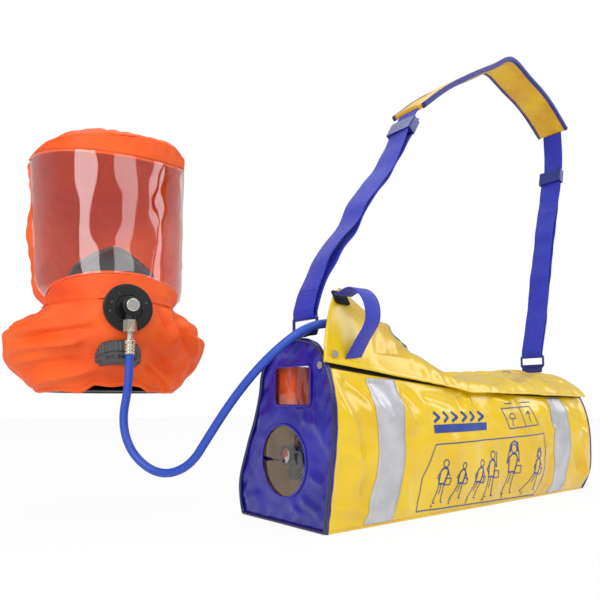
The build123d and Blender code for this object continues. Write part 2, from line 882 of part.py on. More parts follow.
with BuildPart() as clamp_ring:
    with BuildSketch(face_plane(-126 - seat_fit)):
        Circle(neck_radius + 8)
        Circle(neck_radius + seat_fit, mode=Mode.SUBTRACT)
    extrude(amount=5)
write_hood_piece(clamp_ring.part, "clamp_ring")

seat_y = -134
with BuildPart() as inhale_seat:
    with BuildSketch(face_plane(seat_y)):
        Circle(neck_bore - seat_fit)
        with PolarLocations(7.5, 6):
            Circle(2.6, mode=Mode.SUBTRACT)
    extrude(amount=3)
write_hood_piece(inhale_seat.part, "inhale_seat")

with BuildPart() as inhale_disc:
    with BuildSketch(face_plane(seat_y + 1 + 0.2)):
        Circle(12)
    extrude(amount=1)
write_hood_piece(inhale_disc.part, "inhale_disc")

stub_bottom = port_z - 18
with BuildPart() as banjo_fitting:
    with BuildSketch(face_plane(banjo_y)):
        Circle(banjo_radius)
    extrude(amount=banjo_width)
    fillet(banjo_fitting.edges(), 1.5)
    with BuildSketch(Plane.XY.offset(stub_bottom)):
        with Locations((0, banjo_middle)):
            Circle(7)
    extrude(amount=port_z - stub_bottom)
    with BuildSketch(face_plane(banjo_y)):
        Circle(bolt_radius + seat_fit)
    extrude(amount=banjo_width, mode=Mode.SUBTRACT)
write_hood_piece(banjo_fitting.part, "banjo_fitting")

head_radius = 8.5
head_height = 6
with BuildPart() as banjo_bolt:
    with BuildSketch(face_plane(banjo_y - banjo_width)):
        Circle(head_radius)
    extrude(amount=head_height)
    fillet(banjo_bolt.edges().group_by(Axis.Y)[0], 1)
    with BuildSketch(face_plane(banjo_y - banjo_width - head_height)):
        Rectangle(2, 2 * head_radius, rotation=35)
    extrude(amount=-2, mode=Mode.SUBTRACT)
    with BuildSketch(face_plane(banjo_y - banjo_width)):
        Circle(bolt_radius)
    extrude(amount=-banjo_width - flange_thickness - 6)
write_hood_piece(banjo_bolt.part, "banjo_bolt")

nut_height = 16
nut_radius = 9.3
stem_bottom = 60
with BuildPart() as hose_nut:
    with BuildSketch(Plane.XY.offset(stub_bottom - 0.1)):
        with Locations((0, banjo_middle)):
            RegularPolygon(nut_radius, 6)
            Circle(stem_radius + running_fit, mode=Mode.SUBTRACT)
    extrude(amount=-nut_height)
write_hood_piece(hose_nut.part, "hose_nut")

with BuildPart() as hose_stem:
    with BuildSketch(Plane.XY.offset(stub_bottom)):
        with Locations((0, banjo_middle)):
            Circle(stem_radius)
    extrude(amount=stem_bottom - stub_bottom)
write_hood_piece(hose_stem.part, "hose_stem")

ferrule_bottom = port_z - 64
with BuildPart() as hood_ferrule:
    with BuildSketch(Plane.XY.offset(ferrule_bottom)):
        with Locations((0, banjo_middle)):
            Circle(ferrule_radius)
    extrude(amount=ferrule_length - 2)
    with BuildSketch(Plane.XY.offset(stem_bottom)):
        with Locations((0, banjo_middle)):
            Circle(stem_radius + seat_fit)
    extrude(amount=ferrule_length, mode=Mode.SUBTRACT)
write_hood_piece(hood_ferrule.part, "hood_ferrule")

# Exhalation valve, tilted down in the collar: cup, disc and slotted cover.
cup_wall = 3
with BuildPart() as exhale_body:
    with BuildSketch(valve_plane):
        Circle(valve_radius)
    extrude(amount=valve_depth)
    with BuildSketch(valve_plane.offset(cup_wall)):
        Circle(valve_radius - cup_wall)
    extrude(amount=valve_depth, mode=Mode.SUBTRACT)
    with BuildSketch(valve_plane):
        with PolarLocations(13, 6):
            Circle(4.5, mode=Mode.ADD)
    extrude(amount=cup_wall, mode=Mode.SUBTRACT)
write_hood_piece(exhale_body.part, "exhale_body")

with BuildPart() as exhale_disc:
    with BuildSketch(valve_plane.offset(cup_wall + 0.2)):
        Circle(22)
    extrude(amount=1.2)
write_hood_piece(exhale_disc.part, "exhale_disc")

cover_start = valve_depth + 0.1
cover_depth = 7
with BuildPart() as exhale_cover:
    with BuildSketch(valve_plane.offset(cover_start)):
        Circle(valve_radius - running_gap)
    extrude(amount=cover_depth)
    chamfer(exhale_cover.edges().filter_by(GeomType.CIRCLE).sort_by(Axis.Z)[0], 4)
    with BuildSketch(valve_plane.offset(cover_start)):
        with PolarLocations(25, 8):
            SlotOverall(17, 4.5, rotation=90)
    extrude(amount=cover_depth, mode=Mode.SUBTRACT)
    with BuildSketch(valve_plane.offset(cover_start)):
        Circle(valve_radius - cup_wall - running_gap)
    extrude(amount=cover_depth - 3, mode=Mode.SUBTRACT)
write_hood_piece(exhale_cover.part, "exhale_cover")
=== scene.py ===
import math
import bpy
import bmesh
import numpy as np
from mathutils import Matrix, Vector
from mathutils.geometry import delaunay_2d_cdt


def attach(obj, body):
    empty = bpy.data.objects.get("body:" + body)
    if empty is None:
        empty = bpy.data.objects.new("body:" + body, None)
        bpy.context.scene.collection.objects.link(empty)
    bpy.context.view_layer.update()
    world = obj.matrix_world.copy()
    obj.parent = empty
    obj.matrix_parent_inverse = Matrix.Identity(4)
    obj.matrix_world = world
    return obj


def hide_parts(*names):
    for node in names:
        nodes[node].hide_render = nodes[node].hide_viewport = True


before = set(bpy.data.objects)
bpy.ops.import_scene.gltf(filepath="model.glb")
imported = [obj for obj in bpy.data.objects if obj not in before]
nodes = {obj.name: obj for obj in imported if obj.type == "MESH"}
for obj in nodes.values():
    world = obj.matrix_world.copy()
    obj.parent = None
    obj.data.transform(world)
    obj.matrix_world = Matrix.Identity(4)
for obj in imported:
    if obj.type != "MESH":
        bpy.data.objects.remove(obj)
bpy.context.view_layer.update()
mm = 0.001

print("camera")
view = {"place": (-0.752, -0.598, 0.148), "turn": -38.807, "pitch": 4.0, "lens": 35.57, "shiftY": 0.105}
cameraData = bpy.data.cameras.new("viewCamera")
cameraData.lens = view["lens"]
cameraData.sensor_width = 36
cameraData.shift_y = view["shiftY"]
camera = bpy.data.objects.new("viewCamera", cameraData)
camera.location = view["place"]
camera.rotation_euler = (math.radians(90 + view["pitch"]), 0, math.radians(view["turn"]))
bpy.context.scene.collection.objects.link(camera)
bpy.context.scene.camera = camera


# everything below is worked out in millimetres and turned to metres in the mesh

def throughStations(at, rows, where):
    # cubic pieces through rows of numbers given at stations, read at other places
    at, rows, where = np.asarray(at, float), np.asarray(rows, float), np.asarray(where, float)
    slope = np.gradient(rows, at, axis=0)
    i = np.clip(np.searchsorted(at, where, side="right") - 1, 0, len(at) - 2)
    gap = at[i + 1] - at[i]
    f = (where - at[i]) / gap
    shape = f.shape + (1,) * (rows.ndim - 1)
    f, gap = f.reshape(shape), gap.reshape(shape)
    return ((2 * f**3 - 3 * f**2 + 1) * rows[i] + (f**3 - 2 * f**2 + f) * gap * slope[i]
            + (3 * f**2 - 2 * f**3) * rows[i + 1] + (f**3 - f**2) * gap * slope[i + 1])


def evenly(points, count):
    # count points, evenly spaced along a smooth line through the given ones
    points = np.asarray(points, float)
    at = np.r_[0, np.cumsum(np.linalg.norm(np.diff(points, axis=0), axis=1))]
    fine = throughStations(at, points, np.linspace(0, at[-1], 600))
    run = np.r_[0, np.cumsum(np.linalg.norm(np.diff(fine, axis=0), axis=1))]
    target = np.linspace(0, run[-1], count)
    return np.stack([np.interp(target, run, fine[:, k]) for k in range(fine.shape[1])], -1)


def foldHeight(a, b, folds):
    # each fold is a ridge, or a valley below zero, along a line: start a, start b, end a, end b, width, height
    total = np.zeros_like(a)
    for a0, b0, a1, b1, width, height in folds:
        run = math.hypot(a1 - a0, b1 - b0)
        along = ((a - a0) * (a1 - a0) + (b - b0) * (b1 - b0)) / run**2
        across = ((a - a0) * (b1 - b0) - (b - b0) * (a1 - a0)) / run
        fade = np.exp(-np.maximum(np.abs(along - 0.5) - 0.3, 0) ** 2 / 0.03)
        total += height * fade * np.exp(-(across / width) ** 2)
    return total


def unevenness(a, b, size, height, seed):
    # low rolling waves of about that size: a sum of sines in seeded directions
    rng = np.random.default_rng(seed)
    turns, shifts, stretches = rng.uniform(0, math.tau,
                                           9), rng.uniform(0, math.tau, 9), rng.uniform(0.6, 1.7, 9)
    total = np.zeros_like(a)
    for turn, shift, stretch in zip(turns, shifts, stretches):
        total += np.sin((a * math.cos(turn) + b * math.sin(turn)) * math.tau * stretch / size + shift)
    return total * height / 4


def gridNormals(points, closeU=False, closeV=False):
    # unit normals of a grid: the cross product of its two directions
    def slope(axis, closed):
        if closed:
            return np.roll(points, -1, axis) - np.roll(points, 1, axis)
        return np.gradient(points, axis=axis)
    normal = np.cross(slope(0, closeU), slope(1, closeV))
    return normal / np.maximum(np.linalg.norm(normal, axis=-1, keepdims=True), 1e-9)


def headings(line, gap=0):
    # unit directions along a line; a gap is given for closed loops and counts the steps to either side
    run = np.roll(line, -gap, 0) - np.roll(line, gap, 0) if gap else np.gradient(line, axis=0)
    return run / np.linalg.norm(run, axis=1, keepdims=True)


def meshPiece(name, points, faces, loopUv=None):
    # a smooth mesh from points in millimetres
    mesh = bpy.data.meshes.new(name)
    mesh.from_pydata((np.asarray(points, float).reshape(-1, 3) * mm).tolist(), [], faces)
    if loopUv is not None:
        layer = mesh.uv_layers.new(name="UVMap")
        layer.data.foreach_set("uv", np.asarray(loopUv, np.float32).ravel())
    mesh.polygons.foreach_set("use_smooth", [True] * len(mesh.polygons))
    mesh.update()
    piece = bpy.data.objects.new(name, mesh)
    bpy.context.scene.collection.objects.link(piece)
    return piece


def gridPiece(name, points, closeU=False, closeV=False, caps=False, flip=False):
    # a grid of points (u, v, 3) joined into faces, with a UV map that holds real distances in metres
    nu, nv = points.shape[:2]
    iu, iv = np.meshgrid(np.arange(nu if closeU else nu - 1), np.arange(nv if closeV else nv - 1),
                         indexing="ij")

    def corner(i, j):
        return (i % nu) * nv + j % nv

    order = [(0, 0), (1, 0), (1, 1), (0, 1)]
    if flip:
        order = order[::-1]
    quads = np.stack([corner(iu + i, iv + j) for i, j in order], -1).reshape(-1, 4)
    stepU = np.linalg.norm(np.roll(points, -1, 0) - points, axis=-1).mean(1)
    stepV = np.linalg.norm(np.roll(points, -1, 1) - points, axis=-1).mean(0)
    lengthU, lengthV = np.r_[0, np.cumsum(stepU)] * mm, np.r_[0, np.cumsum(stepV)] * mm
    uv = np.stack([np.stack([lengthU[iu + i], lengthV[iv + j]], -1) for i, j in order], 2).reshape(-1, 2)
    faces = quads.tolist()
    if caps:
        faces += [list(range(nv))[::-1], list(range((nu - 1) * nv, nu * nv))]
        uv = np.r_[uv, np.zeros((2 * nv, 2))]
    return meshPiece(name, points, faces, uv)


def outwards(piece):
    # closed shapes get their faces turned to the outside
    form = bmesh.new()
    form.from_mesh(piece.data)
    bmesh.ops.remove_doubles(form, verts=form.verts, dist=0.02 * mm)
    bmesh.ops.recalc_face_normals(form, faces=form.faces)
    form.to_mesh(piece.data)
    form.free()
    return piece


def thicken(piece, thickness):
    # wall thickness in millimetres, grown inwards
    solid = piece.modifiers.new("wall", "SOLIDIFY")
    solid.thickness = thickness * mm
    solid.offset = -1
    return piece


def carry(name, path, side, up, section, closed=False):
    # a closed section (across, up) carried along a path, in the frame that side and up give at each point
    path, side, up = (np.asarray(v, float) for v in (path, side, up))
    section = np.broadcast_to(section, (len(path),) + np.shape(section)[-2:])
    points = path[:, None] + section[..., :1] * side[:, None] + section[..., 1:] * up[:, None]
    return outwards(gridPiece(name, points, closeU=closed, closeV=True, caps=not closed))


def turned(name, profile, centre, axis, count=64, ribs=None):
    # a profile of (radius, height) turned about an axis; ribs changes the radius by angle and profile point
    axis = np.asarray(axis, float) / np.linalg.norm(axis)
    first = np.cross(axis, (1, 0, 0) if abs(axis[0]) < 0.9 else (0, 1, 0))
    first /= np.linalg.norm(first)
    second = np.cross(axis, first)
    angle = np.linspace(0, math.tau, count, endpoint=False)
    profile = np.asarray(profile, float)
    radius = profile[:, 0][:, None] * np.ones(count)
    if ribs is not None:
        radius = radius + ribs(np.arange(len(profile))[:, None], angle)
    around = np.cos(angle)[:, None] * first + np.sin(angle)[:, None] * second
    points = np.asarray(centre, float) + profile[:, 1][:, None, None] * axis + radius[..., None] * around
    return outwards(gridPiece(name, points, closeV=True, caps=True))


def roundedBar(width, height, radius, steps=4):
    # outline of a rectangle with round corners
    corners = [(1, 1, 0), (-1, 1, 90), (-1, -1, 180), (1, -1, 270)]
    outline = []
    for signX, signY, start in corners:
        for angle in np.radians(np.linspace(start, start + 90, steps)):
            outline.append((signX * (width / 2 - radius) + radius * math.cos(angle),
                            signY * (height / 2 - radius) + radius * math.sin(angle)))
    return np.array(outline)


def linearColour(code):
    # an sRGB hex value as the linear numbers that the shader takes
    values = [int(code[i:i + 2], 16) / 255 for i in (1, 3, 5)]
    return tuple(v / 12.92 if v <= 0.04045 else ((v + 0.055) / 1.055) ** 2.4 for v in values) + (1.0,)


def addNode(tree, kind, settings=None, links=None):
    # one shader node: settings are its own values or its inputs, links join other sockets to its inputs
    node = tree.nodes.new(kind)
    for key, value in (settings or {}).items():
        if isinstance(key, str) and hasattr(node, key):
            setattr(node, key, value)
        else:
            node.inputs[key].default_value = value
    for key, source in (links or {}).items():
        tree.links.new(source, node.inputs[key])
    return node


def startMaterial(name, settings):
    material = bpy.data.materials.new(name)
    material.use_nodes = True
    material.node_tree.nodes.clear()
    shader = addNode(material.node_tree, "ShaderNodeBsdfPrincipled", settings)
    addNode(material.node_tree, "ShaderNodeOutputMaterial", None, {"Surface": shader.outputs[0]})
    return material, material.node_tree, shader


def noiseNode(tree, place, scale, detail=2.0, distortion=0.0):
    return addNode(tree, "ShaderNodeTexNoise", {"Scale": scale, "Detail": detail, "Distortion": distortion},
                   {"Vector": place})


def bumpNode(tree, height, strength, depth, under=None):
    # relief of that depth, laid over the relief of another bump where one is given
    links = {"Height": height.outputs[0]}
    if under:
        links["Normal"] = under.outputs[0]
    return addNode(tree, "ShaderNodeBump", {"Strength": strength, "Distance": depth}, links)


def mixColours(tree, factor, first, second):
    # two sRGB colours mixed by a factor socket
    mix = addNode(tree, "ShaderNodeMix", {"data_type": "RGBA"}, {0: factor})
    mix.inputs[6].default_value = linearColour(first)
    mix.inputs[7].default_value = linearColour(second)
    return mix.outputs[2]


def coatedFabric(name, light, dark, roughness, coat, cloudSize, creaseSize, creaseDepth, grainSize):
    # woven cloth under a coat of PVC or rubber: a soft gloss that breaks up over small creases
    material, tree, shader = startMaterial(name, {"Roughness": roughness, "IOR": 1.5,
                                                  "Coat Weight": coat, "Coat Roughness": 0.14})
    place = addNode(tree, "ShaderNodeTexCoord").outputs["Object"]
    clouds = noiseNode(tree, place, 1000 / cloudSize, 3.0)
    spread = addNode(tree, "ShaderNodeMapRange", {1: 0.35, 2: 0.7}, {0: clouds.outputs[0]})
    tree.links.new(mixColours(tree, spread.outputs[0], light, dark), shader.inputs["Base Color"])
    creases = noiseNode(tree, place, 1000 / creaseSize, 2.0, distortion=0.6)
    grain = addNode(tree, "ShaderNodeTexVoronoi", {"Scale": 1000 / grainSize}, {"Vector": place})
    soft = bumpNode(tree, creases, 0.5, creaseDepth * mm)
    fine = bumpNode(tree, grain, 0.25, 0.12 * mm, soft)
    tree.links.new(fine.outputs[0], shader.inputs["Normal"])
    return material


def webbingCloth(name, light, dark, rib):
    # woven polyester webbing: ribs across its width, with painted shade in the grooves between them; a real rib
    # is 1.2 mm, drawn coarser so that it shows
    material, tree, shader = startMaterial(name, {"Roughness": 0.62, "Sheen Weight": 0.25,
                                                  "Sheen Roughness": 0.4})
    uv = addNode(tree, "ShaderNodeTexCoord").outputs["UV"]
    ribs = addNode(tree, "ShaderNodeTexWave", {"Scale": 314 / rib, "Distortion": 0.4, "Detail": 1.0},
                   {"Vector": uv})
    threads = addNode(tree, "ShaderNodeTexWave", {"bands_direction": "Y", "Scale": 314 / 1.1}, {"Vector": uv})
    height = addNode(tree, "ShaderNodeMath", {"operation": "MULTIPLY_ADD", 1: 0.3},
                     {0: threads.outputs["Fac"], 2: ribs.outputs["Fac"]})
    worn = noiseNode(tree, uv, 40.0, 4.0)
    # colour follows the rib wave: painted shade darkens the grooves between ribs, and the noise adds random
    # tone
    grooveShadeAndTone = addNode(tree, "ShaderNodeMath", {"operation": "MULTIPLY"},
                    {0: ribs.outputs["Fac"], 1: worn.outputs[0]})
    tree.links.new(mixColours(tree, grooveShadeAndTone.outputs[0], dark, light), shader.inputs["Base Color"])
    bump = bumpNode(tree, height, 0.6, 0.5 * mm)
    tree.links.new(bump.outputs[0], shader.inputs["Normal"])
    return material


def mouldedPlastic(name, light, dark, roughness, grainSize=0.9):
    # moulded ABS or rubber: a fine spark-eroded grain and a slight cloudiness in its gloss
    material, tree, shader = startMaterial(name, {"IOR": 1.5})
    place = addNode(tree, "ShaderNodeTexCoord").outputs["Object"]
    clouds = noiseNode(tree, place, 60.0, 4.0)
    tree.links.new(mixColours(tree, clouds.outputs[0], light, dark), shader.inputs["Base Color"])
    gloss = addNode(tree, "ShaderNodeMapRange", {3: roughness - 0.06, 4: roughness + 0.08},
                    {0: clouds.outputs[0]})
    tree.links.new(gloss.outputs[0], shader.inputs["Roughness"])
    grain = noiseNode(tree, place, 1000 / grainSize)
    bump = bumpNode(tree, grain, 0.2, 0.1 * mm)
    tree.links.new(bump.outputs[0], shader.inputs["Normal"])
    return material


def metalFinish(name, colour, roughness, brushSize):
    # plated or machined metal: fine turning marks and uneven gloss
    material, tree, shader = startMaterial(name, {"Metallic": 1.0, "Base Color": linearColour(colour)})
    place = addNode(tree, "ShaderNodeTexCoord").outputs["Object"]
    marks = noiseNode(tree, place, 1000 / brushSize, 5.0)
    gloss = addNode(tree, "ShaderNodeMapRange", {3: roughness * 0.6, 4: roughness * 1.5},
                    {0: marks.outputs[0]})
    tree.links.new(gloss.outputs[0], shader.inputs["Roughness"])
    bump = bumpNode(tree, marks, 0.15, 0.1 * mm)
    tree.links.new(bump.outputs[0], shader.inputs["Normal"])
    return material


def clearFilm(name, milk, creaseSize):
    # soft clear PVC sheet: it refracts as thin glass does, has wavy reflections and lets lamplight through
    material, tree, shader = startMaterial(name, {"Base Color": linearColour(milk), "Roughness": 0.03,
                                                  "IOR": 1.45,
                                                  "Transmission Weight": 1.0})
    place = addNode(tree, "ShaderNodeTexCoord").outputs["Object"]
    rays = addNode(tree, "ShaderNodeLightPath")
    unseen = addNode(tree, "ShaderNodeMath", {"operation": "MAXIMUM"},
                     {0: rays.outputs["Is Shadow Ray"], 1: rays.outputs["Is Diffuse Ray"]})
    dense = addNode(tree, "ShaderNodeMapRange", {3: 1.0, 4: 0.06}, {0: unseen.outputs[0]})
    tree.links.new(dense.outputs[0], shader.inputs["Alpha"])
    waves = noiseNode(tree, place, 1000 / creaseSize, 1.0)
    bump = bumpNode(tree, waves, 0.3, 1.0 * mm)
    tree.links.new(bump.outputs[0], shader.inputs["Normal"])
    return material


def reflectiveTape(name):
    # glass-bead tape: grey, crumpled along with the cloth, with a sheen that is brighter than cloth
    material, tree, shader = startMaterial(name, {"Roughness": 0.38, "Metallic": 0.4})
    place = addNode(tree, "ShaderNodeTexCoord").outputs["Object"]
    clouds = noiseNode(tree, place, 35.0, 5.0)
    tree.links.new(mixColours(tree, clouds.outputs[0], "#E2E2E6", "#A4A4AC"), shader.inputs["Base Color"])
    crumple = addNode(tree, "ShaderNodeTexVoronoi", {"Scale": 1000 / 22}, {"Vector": place})
    beads = addNode(tree, "ShaderNodeTexVoronoi", {"Scale": 900.0}, {"Vector": place})
    soft = bumpNode(tree, crumple, 0.5, 1.6 * mm)
    bump = bumpNode(tree, beads, 0.3, 0.15 * mm, soft)
    tree.links.new(bump.outputs[0], shader.inputs["Normal"])
    return material


def gaugeFace(name, centre):
    # printed dial: white with a red sector
    material, tree, shader = startMaterial(name, {"Roughness": 0.4})
    place = addNode(tree, "ShaderNodeTexCoord").outputs["Object"]
    moved = addNode(tree, "ShaderNodeMapping", {"Location": (0, -centre[1] * mm, -centre[0] * mm)},
                    {"Vector": place})
    split = addNode(tree, "ShaderNodeSeparateXYZ", None, {0: moved.outputs[0]})
    turn = addNode(tree, "ShaderNodeMath", {"operation": "ARCTAN2"},
                   {0: split.outputs[1], 1: split.outputs[2]})
    share = addNode(tree, "ShaderNodeMapRange", {1: -math.pi, 2: math.pi}, {0: turn.outputs[0]})
    ramp = addNode(tree, "ShaderNodeValToRGB", None, {0: share.outputs[0]})
    ramp.color_ramp.interpolation = "CONSTANT"
    ramp.color_ramp.elements[0].color = linearColour("#F2F0EC")
    ramp.color_ramp.elements[1].position = 0.52
    ramp.color_ramp.elements[1].color = linearColour("#D8322A")
    last = ramp.color_ramp.elements.new(0.86)
    last.color = linearColour("#F2F0EC")
    tree.links.new(ramp.outputs[0], shader.inputs["Base Color"])
    return material


finish = {
    "orangeHood": coatedFabric("orangeCoatedNylon", "#FC6408", "#F04E00", 0.62, 0.0, 90, 24, 0.5, 1.4),
    "yellowPvc": coatedFabric("yellowPvcTarpaulin", "#F2CE00", "#E2B600", 0.3, 0.4, 110, 20, 0.9, 1.6),
    "bluePvc": coatedFabric("bluePvcTarpaulin", "#2319A4", "#1A128A", 0.34, 0.22, 70, 17, 0.5, 1.6),
    "bluePiping": coatedFabric("bluePvcPiping", "#191966", "#101042", 0.3, 0.4, 60, 12, 0.4, 1.6),
    "padYellow": coatedFabric("yellowPadCloth", "#E8BC10", "#D69E0A", 0.5, 0.1, 50, 12, 0.9, 1.2),
    "blackTape": coatedFabric("blackHookTape", "#0C0C10", "#050507", 0.9, 0.0, 30, 6, 0.8, 1.0),
    "print": coatedFabric("bluePrintInk", "#2444A4", "#1C388E", 0.45, 0.1, 60, 20, 0.3, 1.4),
    "webbing": webbingCloth("bluePolyesterWebbing", "#3048E4", "#141CA0", 2.6),
    "bindingWebbing": webbingCloth("blueBindingTape", "#2A36B4", "#181E70", 2.6),
    "bluePlastic": mouldedPlastic("blueAcetal", "#26308E", "#1C2570", 0.35),
    "blackPlastic": mouldedPlastic("blackNylon", "#0E0E0F", "#070707", 0.3),
    "greyPlastic": mouldedPlastic("darkGreyNylon", "#4E4E52", "#3E3E42", 0.45),
    "blackRubber": mouldedPlastic("blackSilicone", "#26262A", "#17171A", 0.3),
    "hoseRubber": mouldedPlastic("blueHoseRubber", "#2A52C4", "#2246AC", 0.38, 1.5),
    "steel": metalFinish("zincPlatedSteel", "#D8D4CC", 0.22, 3),
    "nickel": metalFinish("nickelPlatedBrass", "#CFC3B0", 0.25, 3),
    "cylinderPaint": mouldedPlastic("paleCylinderPaint", "#F2F2F0", "#E2E2DE", 0.3),
    "film": clearFilm("clearPvcFilm", "#F6F3F4", 60),
    "glass": clearFilm("clearAcrylic", "#FAFAFA", 90),
    "tape": reflectiveTape("reflectiveTape"),
    "dial": gaugeFace("printedDial", (82, 24)),
    "needle": mouldedPlastic("redNeedlePaint", "#B01812", "#8C120E", 0.4),
}


def settle(piece, material, body="set", stands=()):
    # material and body of a finished piece, and the solids that it stands for
    piece.data.materials.append(finish[material])
    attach(piece, body)
    if stands:
        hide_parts(*stands)
    return piece


def dressNode(name, material, bevel=0.4):
    # a solid that keeps its shape gets its material, merged corners and slightly broken edges
    node = nodes[name]
    node.data.materials.clear()
    node.data.materials.append(finish[material])
    if bevel:
        node.modifiers.new("weld", "WELD").merge_threshold = 0.01 * mm
        broken = node.modifiers.new("edges", "BEVEL")
        broken.width = bevel * mm
        broken.segments = 2
        broken.limit_method = "ANGLE"
        broken.angle_limit = math.radians(40)
        broken.harden_normals = True


print("hose")
hoodTurn = math.radians(-10.5)
hoodPlace = np.array([-407.0, 318.0, 168.0])


def inHood(points):
    # from the hood's own frame to the set's
    points = np.asarray(points, float)
    x, y, z = points[..., 0], points[..., 1], points[..., 2]
    return hoodPlace + np.stack([x * math.cos(hoodTurn) - y * math.sin(hoodTurn),
                                 x * math.sin(hoodTurn) + y * math.cos(hoodTurn), z], -1)


hoseStart = inHood((0, -168, 46))
hoseRoute = [
    tuple(hoseStart),
    (hoseStart[0], hoseStart[1], 174),
    (-446, 155, 124),
    (-437, 140, 82),
    (-414, 106, 57),
    (-391, 70, 70),
    (-377, 47, 110),
    (-362, 22, 151),
    (-344, -3, 188),
    (-325, -29, 218),
    (-302, -50, 241),
    (-269, -60, 249),
    (-237, -63, 238),
    (-211, -62, 211),
    (-197, -60, 180),
    (-192, -60, 150),
    (-192, -60, 126),
]
hoseCurve = bpy.data.curves.new("hoseLine", "CURVE")
hoseCurve.dimensions = "3D"
hoseCurve.bevel_depth = 5.5 * mm
hoseCurve.bevel_resolution = 6
hoseCurve.resolution_u = 10
hoseCurve.use_fill_caps = True
line = hoseCurve.splines.new("NURBS")
line.points.add(len(hoseRoute) - 1)
line.points.foreach_set("co", np.c_[np.array(hoseRoute) * mm, np.ones(len(hoseRoute))].ravel())
line.order_u = 3
line.use_endpoint_u = True
hose = bpy.data.objects.new("hoseLine", hoseCurve)
bpy.context.scene.collection.objects.link(hose)
settle(hose, "hoseRubber", "set", ["hose"])


def stitches(name, path, normal, pitch, length, material, body="set"):
    # a row of short raised threads along a path: each one a flat six-sided grain lying on the cloth
    path, normal = np.asarray(path, float), np.asarray(normal, float)
    run = np.r_[0, np.cumsum(np.linalg.norm(np.diff(path, axis=0), axis=1))]
    count = max(int(run[-1] / pitch), 2)
    centre = (np.arange(count) + 0.5) * run[-1] / count

    def at(place, values):
        return np.stack([np.interp(place, run, values[:, k]) for k in range(3)], -1)

    start, end = at(centre - length / 2, path), at(centre + length / 2, path)
    up = at(centre, normal)
    side = np.cross(end - start, up)
    side /= np.maximum(np.linalg.norm(side, axis=1, keepdims=True), 1e-6)
    middle = (start + end) / 2
    points = np.stack([start, middle - 0.45 * side, end, middle + 0.45 * side, middle + 0.5 * up], 1)
    first = np.arange(count)[:, None] * 5
    faces = np.concatenate([first + np.array(f) for f in ((0, 1, 4), (1, 2, 4), (2, 3, 4), (3, 0, 4))])
    return settle(meshPiece(name, points, faces.tolist()), material, body)


print("hood")
hoodStations = np.array([
    (0, 98, -106, 90), (14, 117, -110, 104), (45, 144, -122, 122), (72, 148, -146, 125),
    (92, 147, -151, 122), (108, 121, -150, 110), (122, 95, -147, 98), (150, 108, -134, 111),
    (200, 112, -126, 115), (250, 114, -121, 117), (300, 115, -116, 117), (345, 117, -111, 115),
    (385, 116, -107, 113),
], float)
hood = {
    "neck": 122, "ring": 370, "apex": 399, "tilt": 0.13, "cloth": 1.2, "visorFilm": 0.8,
    "front": 141, "back": 150, "lowRows": 14, "visorRows": 130, "crownRows": 18, "domeRows": 60,
    "windowSide": (-38, 132, 8, 366),
}


def hoodPoint(theta, z):
    # an oval whose half width, front and back are read at that height; the angle starts at the front
    sizes = throughStations(hoodStations[:, 0], hoodStations[:, 1:], z)
    half, front, back = sizes[..., 0], sizes[..., 1], sizes[..., 2]
    return np.stack([half * np.sin(theta), (front + back) / 2 - (back - front) / 2 * np.cos(theta), z], -1)


def windowEdge(z):
    # the angle at which the visor ends: where the oval meets the sloping side line of the window
    y0, z0, y1, z1 = hood["windowSide"]
    z = np.clip(z, z0, z1)
    sizes = throughStations(hoodStations[:, 0], hoodStations[:, 1:], z)
    middle, depth = (sizes[..., 1] + sizes[..., 2]) / 2, (sizes[..., 2] - sizes[..., 1]) / 2
    sideY = y0 + (z - z0) / (z1 - z0) * (y1 - y0)
    return np.arccos(np.clip((middle - sideY) / depth, -1, 1))


across = np.linspace(-1, 1, hood["front"])
low, high = np.full(len(across), 150.0), np.full(len(across), 350.0)
for _ in range(14):
    low = np.interp(hoodPoint(across * windowEdge(low), low)[:, 1], [-150, -128, -60, -38],
                    [164, 160, 138, 132])
    high = np.interp(hoodPoint(across * windowEdge(high), high)[:, 1], [-130, -60, 8], [336, 352, 366])
backShare = np.linspace(0, 1, hood["back"] + 2)[1:-1]
low, high = np.r_[low, np.full(len(backShare), low[-1])], np.r_[high, np.full(len(backShare), high[-1])]


def columnAngle(z):
    # front columns share out the window, the others share out the rest of the round
    edge = windowEdge(z)
    front = across[:, None] * edge[:len(across)]
    rest = edge[len(across):] + backShare[:, None] * (math.tau - 2 * edge[len(across):])
    return np.concatenate([front, rest])


def steps(start, end, count):
    return start[:, None] + (end - start)[:, None] * np.linspace(0, 1, count)


neckZ, ringZ = np.full(len(low), float(hood["neck"])), np.full(len(low), float(hood["ring"]))
height = np.concatenate([steps(neckZ, low, hood["lowRows"])[:, :-1],
                         steps(low, high, hood["visorRows"])[:, :-1],
                         steps(high, ringZ, hood["crownRows"])], 1)
body = hoodPoint(columnAngle(height), height)
rim = body[:, -1:]
share = np.cos(np.linspace(0, math.pi / 2, hood["domeRows"]))[None, 1:, None]
middle = np.array([6.0, 4.0, 0.0])
dome = middle + (rim - middle) * share
dome[..., 2] = hood["ring"] + (hood["apex"] - hood["ring"]) * (1 - share[..., 0] ** 2.2) ** 0.8
hoodGrid = np.concatenate([body, dome], 1)
firstVisor = hood["lowRows"] - 1
lastVisor = firstVisor + hood["visorRows"] - 1


